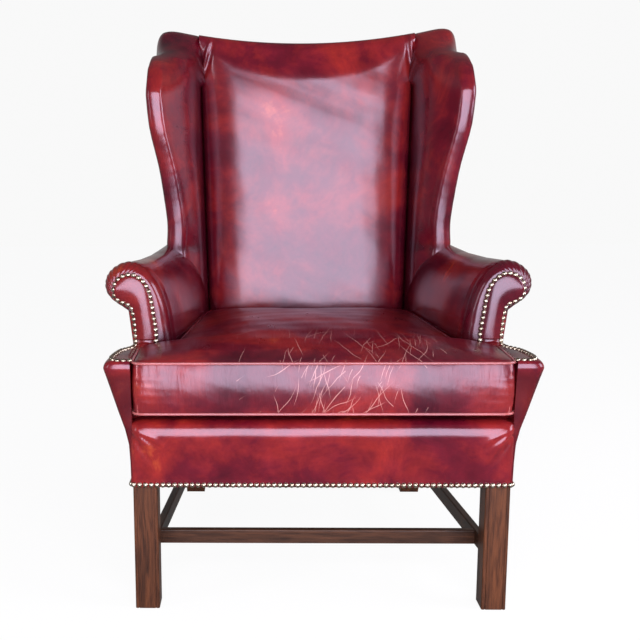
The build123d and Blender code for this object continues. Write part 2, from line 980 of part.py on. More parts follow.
def inside_arm():
    gathered = [
        arm_section(arm_front_depth + roll_depth * run, roll_inset * inset)
        for run, inset in gather_shares
    ]
    along = [arm_section(arm_front_depth + arm_length * shares[0], 0) for shares in arm_shares]
    arm = loft(gathered + along[:1], ruled=True) + loft(along) - behind_back - back_channel
    arm = arm - arm_post_blank() - arm_rail - post_blank() - rear_leg_blank()
    return arm - lower_back_rail - back_webbing() - wing_post()


def arm_facing():
    foot = bracket_top_height + seat_gap
    low = [(facing_inner, foot), (facing_outer, foot)]
    corners, bulges = facing_outline(low)
    front = (arm_front_depth - facing_thickness, arm_front_depth)
    return front_block(corners, front, bulges)


# Scooped brackets: the sides sweep out and forward beside the cushion

bracket_shares = [
    (0.000, 0.00, 0.00),
    (0.340, 0.05, 0.00),
    (0.460, 0.20, 0.00),
    (0.600, 0.44, 0.35),
    (0.740, 0.66, 0.62),
    (0.880, 0.86, 0.85),
    (0.970, 1.00, 1.00),
    (1.000, 0.80, 0.35),
]


def bracket_section(shares):
    rise, flare, front_share = shares
    height = leather_hem + (bracket_top_height - leather_hem) * rise
    outer = front_half_width + leather + bracket_flare * flare
    front = -bracket_front * front_share
    back = arm_front_depth + arm_post_thickness / 2
    neck = panel_outer(back, height)
    round_corner = leather + (bracket_corner - leather) * flare
    bend = (outer + neck) / 2 - bracket_corner * flare / 2
    middle = (round_corner + back) * bracket_bend_share
    inside = front_half_width - leather
    points = [
        (inside, front),
        (outer - round_corner, front),
        (outer, front + round_corner),
        (neck, back),
        (neck - 2 * leather, back),
        (inside, leg_side),
    ]
    nip = round_corner * (1 - diagonal_share)
    arcs = {1: (outer - nip, front + nip), 2: (bend, middle)}
    places = {edge: (x, y, height) for edge, (x, y) in arcs.items()}
    return outline([(x, y, height) for x, y in points], places)


def side_bracket():
    sections = [bracket_section(shares) for shares in bracket_shares]
    body = loft(sections[:3], ruled=True) + loft(sections[2:7]) + loft(sections[6:], ruled=True)
    inner_side = block(
        (0, front_half_width),
        (-overrun, cushion_ear_depth + 2 * seat_gap),
        (platform_top, crest_top),
    )
    body = body - inner_side - seat_core - arm_post_blank() - front_border()
    return body.solids().sort_by(SortBy.VOLUME)[-1]


def side_panel():
    start = arm_front_depth + arm_post_thickness / 2 + seat_gap
    depths = [start, (start + post_front_depth) / 2, post_front_depth, far_back]
    body = loft([panel_section(depth) for depth in depths], ruled=True)
    body = body - behind_back - seat_core - post_blank() - rear_leg_blank()
    return body - arm_post_blank() - inside_arm()


# Back

back_stations = [-1, -0.9, -0.55, 0, 0.55, 0.9, 1]


def back_section(share):
    fall = back_crown * (1 - share**2) - back_side_fall * abs(share) ** 8
    top = crest_line(abs(share) * back_half(crest_middle))
    bottom = platform_top + seat_gap
    rear = strap_thickness
    foot_fall, low_fall, round_fall = [fall * share for share in back_fall_shares]
    middle = (crease_height + top) / 2
    low = top - crest_round
    behind = post_back(top)
    profile = [
        (crease(bottom) - foot_fall, bottom),
        (crease(low) - low_fall, low),
        (crease(top) + crest_round, top),
        (behind - crest_round / 2, top),
        (post_back(low), low),
        (post_back(crest_rail_low), crest_rail_low),
        (post_front(crest_rail_low) - rear, crest_rail_low),
        (post_front(rail_top) - rear, bottom),
    ]
    quarter = crest_round * (1 - diagonal_share)
    arcs = {
        0: (crease(middle) - fall, middle),
        1: (crease(top) + quarter - round_fall, top - quarter),
        3: (behind - quarter / 2, top - quarter),
    }
    points = [(share * back_half(z), y, z) for y, z in profile]
    places = {edge: (share * back_half(z), y, z) for edge, (y, z) in arcs.items()}
    return outline(points, places)


def inside_back():
    body = loft([back_section(share) for share in back_stations])
    return body - crest_blank - lower_back_rail - behind_back


def back_webbing():
    # Straps across the front of the posts
    body = []
    for number in range(back_straps):
        low = lower_rail_z[1] + strap_width + number * back_strap_pitch
        high = low + strap_width
        corners = [
            (post_front(low) - strap_thickness, low),
            (post_front(low), low),
            (post_front(high), high),
            (post_front(high) - strap_thickness, high),
        ]
        body.append(side_block(corners, (-rear_half_width + leather, rear_half_width - leather)))
    return Part() + body


def outside_back():
    # Leather over the whole rear, from the hem to the crest
    low_half = rear_half_width + leather
    wing_foot = (wing_back_half(wing_seam_height), wing_seam_height)
    wing_top = (crest_half_width - leather, crest_end_low)
    top = crest_line(crest_shoulder) - crest_round / 2
    right = [
        (low_half, leather_hem),
        wing_foot,
        wing_top,
        (crest_half_width - leather, top - crest_round),
        (crest_shoulder, top),
    ]
    left = [(-x, z) for x, z in reversed(right)]
    corner = (crest_half_width - leather - crest_round / 3, top - crest_round / 3)
    bulges = {
        3: corner,
        4: (0, crest_middle - crest_round / 2),
        5: (-corner[0], corner[1]),
    }
    face_on = front_block(right + left, (post_front_depth, far_back), bulges)
    high = crest_top + overrun
    sheet = side_block(
        [
            (post_back(rail_top), leather_hem),
            (post_back(rail_top) + leather, leather_hem),
            (post_back(rail_top) + leather, rail_top),
            (post_back(high) + leather, high),
            (post_back(high), high),
            (post_back(rail_top), rail_top),
        ],
        (-crest_half_width - overrun, crest_half_width + overrun),
    )
    return face_on & sheet


# Wings and the crest's ends

crest_end_shares = [(-0.04, 0.0), (0.45, 0.0), (0.75, 0.0), (0.93, 0.12), (1.0, 0.5)]


def crest_end_across(height, run):
    # Half width at a share of the way from the inside back to the crest's end
    inner = back_half(height)
    return inner + (crest_half_width - inner) * run


def crest_end_section(run, drop):
    top = min(crest_line(crest_end_across(crest_middle, run)), crest_top)
    top -= crest_round * 2 * drop
    inset = crest_round * drop
    low = top - crest_round
    front = crease(low) + inset
    profile = [
        (crease(crest_end_low) + inset, crest_end_low),
        (front, low),
        (front + crest_round, top),
        (post_back(top) - crest_round / 2 - inset, top),
        (post_back(low) - inset, low),
        (post_back(crest_end_low) - inset, crest_end_low),
    ]
    quarter = crest_round * (1 - diagonal_share)
    arcs = {
        1: (front + quarter, top - quarter),
        3: (post_back(top) - quarter / 2 - inset, top - quarter),
    }
    places = {edge: (crest_end_across(z, run), y, z) for edge, (y, z) in arcs.items()}
    return outline([(crest_end_across(z, run), y, z) for y, z in profile], places)


def wing():
    slab = loft([wing_section(shares, row) for row, shares in enumerate(wing_shares)])
    end = loft([crest_end_section(run, drop) for run, drop in crest_end_shares])
    body = slab + end
    body = body - behind_back - back_channel - crest_blank - post_blank() - back_webbing()
    return body - wing_post() - wing_rail() - wing_panel_blank() - inside_arm()


def wing_panel_blank():
    sections = [wing_panel_section(shares) for shares in wing_shares[:closed_rows]]
    return loft(sections, ruled=True) - behind_back


def wing_panel():
    return wing_panel_blank() - inside_arm()


# Loose cushion, shaped in a T round the arms


def cushion_outline(inset):
    side = cushion_half_width - inset
    ear = cushion_ear_depth - inset
    front_tongue = cushion_tongue_front - inset
    back_tongue = cushion_tongue_back - inset
    right = [
        (side, -cushion_front_overhang + inset),
        (side, ear),
        (front_tongue, ear),
        (back_tongue, cushion_back_depth - inset),
    ]
    left = [(-x, y) for x, y in reversed(right)]
    corner = cushion_corner
    radii = [corner, corner, corner, cushion_back_corner]
    return FilletPolyline(*(right + left), radius=radii + radii[::-1], close=True)


def cushion_level(height, tilt):
    # Plane through the front edge, tilted up to the back
    place = Pos(0, -cushion_front_overhang, height) * Rot(tilt, 0, 0)
    return place * Pos(0, cushion_front_overhang, 0)


cushion_bottom = platform_top + seat_gap
lower_seam = cushion_bottom + piping_radius + seat_gap
upper_seam = lower_seam + cushion_boxing


def cushion_body():
    seam_inset = piping_radius + welt_groove
    rows = [
        (cushion_bottom, 0, cushion_corner / 2),
        (lower_seam, 0, seam_inset),
        (lower_seam + cushion_boxing / 2, cushion_tilt / 2, seam_inset - cushion_barrel),
        (upper_seam, cushion_tilt, seam_inset),
        (upper_seam + cushion_crown / 2, cushion_tilt, cushion_corner),
        (upper_seam + 2 * cushion_crown, cushion_tilt, 3 * cushion_corner),
    ]
    sections = [
        cushion_level(height, tilt) * make_face(cushion_outline(inset))
        for height, tilt, inset in rows
    ]
    return loft(sections)


def crown_section(depth, share):
    # Arched section across the cushion
    half = cushion_half_width + cushion_crown_margin
    edge = upper_seam + (depth + cushion_front_overhang) * math.tan(math.radians(cushion_tilt))
    points = [
        (-half, depth, 0),
        (half, depth, 0),
        (half, depth, edge),
        (-half, depth, edge),
    ]
    return outline(points, {2: (0, depth, edge + cushion_crown * share)})


cushion_crown_shares = [
    (-0.02, 0.12),
    (0.06, 0.4),
    (0.25, 0.85),
    (0.6, 1.0),
    (0.9, 0.6),
    (1.02, 0.25),
]


def cushion():
    length = cushion_back_depth + cushion_front_overhang
    sections = [
        crown_section(run * length - cushion_front_overhang, share)
        for run, share in cushion_crown_shares
    ]
    return cushion_body() & loft(sections)


def piping():
    rings = []
    for height, tilt in ((lower_seam, 0), (upper_seam, cushion_tilt)):
        path = cushion_level(height, tilt) * cushion_outline(0)
        section = Plane(path ^ 0) * Circle(piping_radius)
        rings.append(sweep(section, path=path))
    return Part() + rings


os.makedirs("parts", exist_ok=True)

save_pair("front_leg", front_leg())
save_pair("rear_leg", rear_leg())
save_pair("side_stretcher", side_stretcher)
save("cross_stretcher", cross_stretcher)
save("rear_stretcher", rear_stretcher)
save("front_rail", front_rail)
save("rear_rail", rear_rail)
save_pair("side_rail", side_rail)
save("corner_blocks", corner_blocks)
save_pair("back_post", back_post)
save("lower_back_rail", lower_back_rail)
save("crest_rail", crest_rail)
save_pair("arm_post", arm_post)
save_pair("arm_rail", arm_rail)
save_pair("wing_post", wing_post())
save_pair("wing_rail", wing_rail())
save("seat_webbing", webbing())
save("seat_springs", springs())
save("dust_cover", dust_cover())
save("seat_platform", platform())
save("back_webbing", back_webbing())
save("front_border", front_border())
save_pair("inside_arm", inside_arm())
save_pair("arm_facing", arm_facing())
save_pair("side_bracket", side_bracket())
save_pair("side_panel", side_panel())
save("inside_back", inside_back())
save("outside_back", outside_back())
save_pair("wing", wing())
save_pair("wing_panel", wing_panel())
save("seat_cushion", cushion())
save("cushion_piping", piping())
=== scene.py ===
import bpy
import math
import numpy as np
from mathutils import Matrix, kdtree


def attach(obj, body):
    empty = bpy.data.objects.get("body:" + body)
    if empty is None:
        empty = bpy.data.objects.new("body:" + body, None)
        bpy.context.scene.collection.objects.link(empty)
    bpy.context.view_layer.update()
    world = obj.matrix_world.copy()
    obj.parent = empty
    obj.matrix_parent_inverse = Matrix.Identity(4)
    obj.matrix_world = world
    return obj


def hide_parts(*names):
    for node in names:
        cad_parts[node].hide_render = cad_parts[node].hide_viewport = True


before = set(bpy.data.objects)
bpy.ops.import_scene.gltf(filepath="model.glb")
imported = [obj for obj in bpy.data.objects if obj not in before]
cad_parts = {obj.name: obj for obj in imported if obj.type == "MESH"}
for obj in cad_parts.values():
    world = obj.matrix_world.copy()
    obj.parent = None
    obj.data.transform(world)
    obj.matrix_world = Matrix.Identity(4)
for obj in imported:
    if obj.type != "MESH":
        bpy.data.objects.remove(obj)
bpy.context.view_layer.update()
print("frame loaded:", len(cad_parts), "nodes")

# The chair is measured in millimetres: across to the viewer's right, depth back from the
# front faces of the front legs, height up. middleDepth is where the row's origin lies.
chair = {
    "middleDepth": 368.5,
    "hem": 243.0,
    "railTop": 331.0,
    "postFront": 618.0,
    "postDepth": 44.0,
    "backLean": 0.075,
    "frontHalf": 352.0,
    "rearHalf": 300.0,
    "legSide": 46.0,
}


def toRow(points):
    # row metres = (across, depth - middleDepth, height) / 1000
    moved = np.array(points, float)
    moved[..., 1] -= chair["middleDepth"]
    return moved / 1000


def smoothCurve(points, count, closed=False):
    # Catmull-Rom curve through the points, read again at even steps of its own length
    p = np.array(points, float)
    if closed:
        p = np.vstack([p[-1:], p, p[:2]])
    else:
        p = np.vstack([2 * p[0] - p[1], p, 2 * p[-1] - p[-2]])
    t = np.linspace(0, 1, 25)[:-1][None, :, None]
    a, b, c, d = (p[i:len(p) - 3 + i, None, :] for i in range(4))
    body = 0.5 * (2 * b + (c - a) * t + (2 * a - 5 * b + 4 * c - d) * t**2
                  + (3 * b - a - 3 * c + d) * t**3)
    dense = body.reshape(-1, p.shape[1])
    dense = np.vstack([dense, p[-2]])
    length = np.concatenate([[0], np.cumsum(np.linalg.norm(np.diff(dense, axis=0), axis=1))])
    steps = np.linspace(0, length[-1], count + 1 if closed else count)
    if closed:
        steps = steps[:-1]
    return np.stack([np.interp(steps, length, dense[:, k]) for k in range(p.shape[1])], 1)


def rowsThrough(table, count):
    # Catmull-Rom curve through the rows of a table, at even steps of the row number
    p = np.array(table, float)
    shape = p.shape[1:]
    p = p.reshape(len(p), -1)
    p = np.vstack([2 * p[0] - p[1], p, 2 * p[-1] - p[-2]])
    place = np.linspace(0, len(p) - 3, count)
    low = np.minimum(place.astype(int), len(p) - 4)
    t = (place - low)[:, None]
    a, b, c, d = p[low], p[low + 1], p[low + 2], p[low + 3]
    out = 0.5 * (2 * b + (c - a) * t + (2 * a - 5 * b + 4 * c - d) * t**2
                 + (3 * b - a - 3 * c + d) * t**3)
    return out.reshape((count,) + shape)


def bump(x, centre, width):
    # bell of height 1 about the centre
    return np.exp(-(((x - centre) / width) ** 2))


def ease(x):
    # smooth step from 0 to 1
    x = np.clip(x, 0, 1)
    return x * x * (3 - 2 * x)


def ripple(x, y, z, seed, size):
    # slow uneven waves: three sines along different directions, added
    k = 2 * math.pi / size
    return (np.sin(k * (x + 0.6 * y) + seed) * 0.5
            + np.sin(k * 1.7 * (y - 0.5 * z) + 2.3 * seed) * 0.3
            + np.sin(k * 2.3 * (z + 0.4 * x) + 4.1 * seed) * 0.2)


def linkNew(name, mesh):
    # a new object at the origin, unrotated, in the scene
    piece = bpy.data.objects.new(name, mesh)
    bpy.context.scene.collection.objects.link(piece)
    return piece


def evaluated(piece):
    # the piece's mesh after its modifiers
    graph = bpy.context.evaluated_depsgraph_get()
    return bpy.data.meshes.new_from_object(piece.evaluated_get(graph))


def declare(piece, look=None, body="frame", slot="leather", replaces=()):
    # Smooth faces, then the body it rides on, the CAD nodes it stands for, its look; the slot is
    # not used
    piece.data.polygons.foreach_set("use_smooth", np.ones(len(piece.data.polygons), bool))
    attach(piece, body)
    if replaces:
        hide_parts(*replaces)
    piece.data.materials.append(look or leather)
    return piece


def makeMesh(name, vertices, faces, uvs=None, **rest):
    # a declared piece from row metres and faces, with one uv for each vertex
    mesh = bpy.data.meshes.new(name)
    mesh.from_pydata(vertices, [], faces)
    mesh.validate()
    if uvs is not None:
        layer = mesh.uv_layers.new(name="own")
        corners = np.zeros(len(mesh.loops), np.int32)
        mesh.loops.foreach_get("vertex_index", corners)
        layer.data.foreach_set("uv", np.asarray(uvs, np.float32)[corners].ravel())
    return declare(linkNew(name, mesh), **rest)


def setPaintedShade(piece, share):
    # share of painted shade at each vertex, 1 in the depth of a seam
    layer = piece.data.attributes.new("hollow", "FLOAT", "POINT")
    layer.data.foreach_set("value", np.clip(share, 0, 1).astype(np.float32).ravel())


def meshPoints(mesh):
    # a mesh's vertices in row metres, one to a row
    points = np.zeros(len(mesh.vertices) * 3)
    mesh.vertices.foreach_get("co", points)
    return points.reshape(-1, 3)


def chairPoints(piece):
    # a piece's vertices in chair millimetres, the other way from toRow
    points = meshPoints(piece.data) * 1000
    points[:, 1] += chair["middleDepth"]
    return points


def gridFaces(rows, cols, wrapRows=False, wrapCols=False):
    # one face for each cell of a grid whose vertex number is row * cols + column
    r = np.arange(rows if wrapRows else rows - 1)
    c = np.arange(cols if wrapCols else cols - 1)
    r, c = np.meshgrid(r, c, indexing="ij")
    r2, c2 = (r + 1) % rows, (c + 1) % cols
    return np.stack([r * cols + c, r * cols + c2, r2 * cols + c2, r2 * cols + c], -1).reshape(-1, 4)


def closedShell(grid, start=0):
    # Vertices and faces of a grid that wraps round its columns. A fan to its middle closes
    # each end row. The faces number their vertices from start.
    rows, cols = grid.shape[:2]
    middles = toRow(np.array([grid[0].mean(0), grid[-1].mean(0)]))
    c = np.arange(cols)
    first, edge = rows * cols, (rows - 1) * cols
    near = np.stack([np.full(cols, first), (c + 1) % cols, c], 1)
    far = np.stack([np.full(cols, first + 1), edge + c, edge + (c + 1) % cols], 1)
    skin = gridFaces(rows, cols, wrapCols=True)
    faces = [face for part in (skin, near, far) for face in (part + start).tolist()]
    return np.vstack([toRow(grid).reshape(-1, 3), middles]), faces


def gridPiece(name, grid, wrapRows=False, wrapCols=False, flip=False, **rest):
    # Surface over a grid of points in chair millimetres, rows by columns
    rows, cols = grid.shape[:2]
    points = toRow(grid).reshape(-1, 3)
    faces = gridFaces(rows, cols, wrapRows, wrapCols)
    if flip:
        faces = faces[:, ::-1]
    u, v = np.meshgrid(np.linspace(0, 1, cols), np.linspace(0, 1, rows))
    uvs = np.stack([u.ravel(), v.ravel()], 1)
    return makeMesh(name, points, faces.tolist(), uvs, **rest)


def mirrorGrid(grid):
    # the same grid on the other side of the chair
    out = np.array(grid)
    out[..., 0] *= -1
    return out


def pairPieces(name, grid, flip=False, **rest):
    # a right-hand piece and its mirror image on the left, each with its own name
    made = []
    nodes = rest.pop("nodes", ())
    for side, shape in (("right", grid), ("left", mirrorGrid(grid))):
        turned = flip if side == "right" else not flip
        made.append(gridPiece(f"{name}_{side}", shape, flip=turned,
                              replaces=[f"{n}_{side}" for n in nodes], **rest))
    return made


def stretchSheet(piece):
    # a sheet stretched over a frame: the areas of its faces are read and not kept
    areas = np.zeros(len(piece.data.polygons))
    piece.data.polygons.foreach_get("area", areas)


def postFront(z):
    # depth of the back posts' front face, which leans back with the height over the rail
    return chair["postFront"] + chair["backLean"] * np.maximum(0, z - chair["railTop"])


def postBack(z):
    # the front face plus the post's own depth
    return postFront(z) + chair["postDepth"]


def sideLine(depth):
    # half width of the seat frame, straight from its front corner to its rear corner
    share = (np.asarray(depth, float) - chair["legSide"]) / (chair["postFront"] - chair["legSide"])
    return chair["frontHalf"] + (chair["rearHalf"] - chair["frontHalf"]) * np.clip(share, 0, 1)


# camera, at the photograph's place
view = {
    "place": (-124.3, -1819.2, 828.1),
    "pitchDown": 10.1,
    "yawLeft": 1.6,
    "roll": 0.4,
    "focalPixels": 1011.8,
    "axisPixel": (226.3, 349.5),
    "imageSize": 640,
}


def makeCamera():
    # The line of sight is turned left by the yaw and down by the pitch. The lens is the focal
    # length in pixels over the image size, times the sensor, and the shifts place the axis.
    pitch, yaw, roll = (math.radians(view[k]) for k in ("pitchDown", "yawLeft", "roll"))
    ahead = np.array([-math.sin(yaw) * math.cos(pitch), math.cos(yaw) * math.cos(pitch),
                      -math.sin(pitch)])
    right = np.array([math.cos(yaw), math.sin(yaw), 0])
    up = np.cross(right, ahead)
    # the roll turns the picture's own axes about the line of sight
    rightTurned = right * math.cos(roll) + up * -math.sin(roll)
    upTurned = right * math.sin(roll) + up * math.cos(roll)
    data = bpy.data.cameras.new("photoView")
    data.sensor_width = 36
    data.sensor_fit = "HORIZONTAL"
    data.lens = view["focalPixels"] / view["imageSize"] * data.sensor_width
    data.shift_x = (view["imageSize"] / 2 - view["axisPixel"][0]) / view["imageSize"]
    data.shift_y = (view["axisPixel"][1] - view["imageSize"] / 2) / view["imageSize"]
    camera = bpy.data.objects.new("photoView", data)
    place = toRow(np.array([view["place"]]))[0]
    turn = Matrix([list(rightTurned), list(upTurned), list(-ahead)]).transposed()
    camera.matrix_world = Matrix.Translation(place) @ turn.to_4x4()
    bpy.context.scene.collection.objects.link(camera)
    bpy.context.scene.camera = camera


makeCamera()
print("camera placed")

def newMaterial(name):
    # an empty material whose one shader is joined to its output
    material = bpy.data.materials.new(name)
    material.use_nodes = True
    nodes = material.node_tree.nodes
    nodes.clear()
    out = nodes.new("ShaderNodeOutputMaterial")
    shader = nodes.new("ShaderNodeBsdfPrincipled")
    material.node_tree.links.new(shader.outputs[0], out.inputs[0])
    return material, nodes, material.node_tree.links, shader


def noiseNode(nodes, links, vector, scale, detail=4.0, rough=0.55, distortion=0.0):
    # the value of a noise, 0 to 1, at a vector
    node = nodes.new("ShaderNodeTexNoise")
    node.inputs["Scale"].default_value = scale
    node.inputs["Detail"].default_value = detail
    node.inputs["Roughness"].default_value = rough
    node.inputs["Distortion"].default_value = distortion
    links.new(vector, node.inputs["Vector"])
    return node.outputs["Fac"]


def ramp(nodes, links, value, stops):
    # a colour between the stops' colours, as the value lies between their places
    node = nodes.new("ShaderNodeValToRGB")
    while len(node.color_ramp.elements) < len(stops):
        node.color_ramp.elements.new(0.5)
    for element, (place, colour) in zip(node.color_ramp.elements, stops):
        element.position = place
        element.color = (*colour, 1) if len(colour) == 3 else colour
    links.new(value, node.inputs[0])
    return node.outputs[0]


def mixColour(nodes, links, share, first, second, kind="MIX"):
    # first + share * (second - first), or first blended in another way of mixing
    node = nodes.new("ShaderNodeMix")
    node.data_type = "RGBA"
    node.blend_type = kind
    for value, socket in ((share, 0), (first, 6), (second, 7)):
        if isinstance(value, (int, float)):
            node.inputs[socket].default_value = value
        elif isinstance(value, tuple):
            node.inputs[socket].default_value = (*value, 1)
        else:
            links.new(value, node.inputs[socket])
    return node.outputs[2]


def maths(nodes, links, kind, *values, clamp=False):
    # one operation over numbers or sockets
    node = nodes.new("ShaderNodeMath")
    node.operation = kind
    node.use_clamp = clamp
    for number, value in enumerate(values):
        if isinstance(value, (int, float)):
            node.inputs[number].default_value = value
        else:
            links.new(value, node.inputs[number])
    return node.outputs[0]


def objectPlace(nodes, links, stretch=(1, 1, 1)):
    # the chair's own coordinates in metres, each multiplied by its stretch
    place = nodes.new("ShaderNodeTexCoord").outputs["Object"]
    mapping = nodes.new("ShaderNodeMapping")
    mapping.inputs["Scale"].default_value = stretch
    links.new(place, mapping.inputs["Vector"])
    return mapping.outputs[0]


leatherLook = {
    "deep": (0.033, 0.0012, 0.0060),
    "body": (0.080, 0.0030, 0.0085),
    "warm": (0.180, 0.0110, 0.0090),
    "rubbed": (0.48, 0.085, 0.020),
    # colour of the painted shade in seams, under rolls and on the facings
    "hollow": (0.016, 0.0006, 0.0030),
    "roughness": 0.19,
    "gloss": 0.50,
    "glossTint": (0.92, 0.82, 1.0, 1.0),
    # the sizes of the noises, as their scales, and how much of the clouds is broken up
    "cloudScale": 4.2,
    "breakScale": 12,
    "breakShare": 0.38,
    "mottleScale": 22,
    "grainScale": 620,
    # pale colour of the welt's front: rubbed wear with a painted highlight
    "weltRub": (0.55, 0.20, 0.19),
}
creaseLook = {
    # pale colour of the crease strokes: worn creases with a painted highlight
    "colour": (0.56, 0.30, 0.26),
    "front": -0.20,
    "fade": 0.10,
    "middle": 0.04,
    "reach": 0.22,
    "strength": 0.47,
    "foreshorten": 0.34,
    "bend": 0.034,
    "patchScale": 5.5,
    # turn in degrees, rows per metre, strokes per metre, half width in rows, share kept
    "layers": [(-46, 44, 7.0, 0.042, 0.46), (-60, 84, 12, 0.066, 0.46), (52, 60, 9, 0.050, 0.42),
               (-76, 130, 20, 0.095, 0.50), (-25, 70, 13, 0.060, 0.36), (72, 96, 17, 0.080, 0.40)],
}


def creaseSheet(nodes, links):
    # The cushion's top and front face read as one sheet, (across, height + a share of depth)
    split = nodes.new("ShaderNodeSeparateXYZ")
    links.new(nodes.new("ShaderNodeTexCoord").outputs["Object"], split.inputs[0])
    sheet = nodes.new("ShaderNodeCombineXYZ")
    depth = maths(nodes, links, "MULTIPLY", split.outputs[1], creaseLook["foreshorten"])
    links.new(split.outputs[0], sheet.inputs[0])
    links.new(maths(nodes, links, "ADD", depth, split.outputs[2]), sheet.inputs[1])
    # 1 at the front, falling to 0 towards the back
    frontShare = maths(nodes, links, "SUBTRACT", creaseLook["front"], split.outputs[1])
    frontShare = maths(nodes, links, "DIVIDE", frontShare, creaseLook["fade"], clamp=True)
    return sheet.outputs[0], frontShare


def creaseStrokes(nodes, links):
    # Pale strokes on the creases, partly worn leather and partly painted highlight. Each layer
    # turns the sheet and cuts it into rows, and a row into strokes of random place. A stroke is as
    # wide as 1 minus its way along squared, so that it tapers, and only a share of the strokes is
    # kept, more of them where a noise is high.
    sheet, frontShare = creaseSheet(nodes, links)
    wander = nodes.new("ShaderNodeTexNoise")
    wander.inputs["Scale"].default_value = 11
    links.new(sheet, wander.inputs["Vector"])
    bent = mixColour(nodes, links, creaseLook["bend"], sheet, wander.outputs["Color"])
    patch = noiseNode(nodes, links, sheet, creaseLook["patchScale"], 2)
    patch = maths(nodes, links, "SUBTRACT", patch, 0.37)
    patch = maths(nodes, links, "MULTIPLY", patch, 5.0, clamp=True)
    # only in a band a little right of the middle
    ends = nodes.new("ShaderNodeSeparateXYZ")
    links.new(sheet, ends.inputs[0])
    ends = maths(nodes, links, "ABSOLUTE", maths(nodes, links, "SUBTRACT", ends.outputs[0],
                                                 creaseLook["middle"]))
    ends = maths(nodes, links, "SUBTRACT", creaseLook["reach"], ends)
    ends = maths(nodes, links, "MULTIPLY", ends, 9.0, clamp=True)
    patch = maths(nodes, links, "MULTIPLY", patch, ends)
    total = None
    for number, (turn, rows, strokes, width, share) in enumerate(creaseLook["layers"]):
        place = nodes.new("ShaderNodeMapping")
        place.inputs["Rotation"].default_value = (0, 0, math.radians(turn))
        place.inputs["Location"].default_value = (0.37 * number + 0.1, 0.21 * number, 0)
        links.new(bent, place.inputs["Vector"])
        split = nodes.new("ShaderNodeSeparateXYZ")
        links.new(place.outputs[0], split.inputs[0])
        across = maths(nodes, links, "MULTIPLY", split.outputs[1], rows)
        row = maths(nodes, links, "FLOOR", across)
        chance = nodes.new("ShaderNodeTexWhiteNoise")
        chance.noise_dimensions = "1D"
        links.new(maths(nodes, links, "ADD", row, 31.7 * number), chance.inputs["W"])
        along = maths(nodes, links, "MULTIPLY_ADD", split.outputs[0], strokes,
                      maths(nodes, links, "MULTIPLY", chance.outputs["Value"], 9.0))
        cell = nodes.new("ShaderNodeCombineXYZ")
        links.new(row, cell.inputs[0])
        links.new(maths(nodes, links, "FLOOR", along), cell.inputs[1])
        cell.inputs[2].default_value = number
        draw = nodes.new("ShaderNodeTexWhiteNoise")
        draw.noise_dimensions = "3D"
        links.new(cell.outputs[0], draw.inputs["Vector"])
        kept = maths(nodes, links, "LESS_THAN", draw.outputs["Value"],
                     maths(nodes, links, "MULTIPLY", patch, share))
        middle = maths(nodes, links, "MULTIPLY_ADD", draw.outputs["Value"], 0.5 / share, 0.25)
        off = maths(nodes, links, "ABSOLUTE", maths(nodes, links, "SUBTRACT", maths(
            nodes, links, "FRACT", across), middle))
        way = maths(nodes, links, "SUBTRACT", maths(nodes, links, "FRACT", along), 0.5)
        taper = maths(nodes, links, "MULTIPLY", maths(nodes, links, "MULTIPLY", way, way), 4.0)
        wide = maths(nodes, links, "MULTIPLY", maths(nodes, links, "SUBTRACT", 1.0, taper), width)
        line = maths(nodes, links, "SUBTRACT", wide, off)
        line = maths(nodes, links, "DIVIDE", line, width * 0.7, clamp=True)
        line = maths(nodes, links, "MULTIPLY", line, kept)
        total = line if total is None else maths(nodes, links, "MAXIMUM", total, line)
    total = maths(nodes, links, "MULTIPLY", total, frontShare)
    return maths(nodes, links, "MULTIPLY", total, creaseLook["strength"])


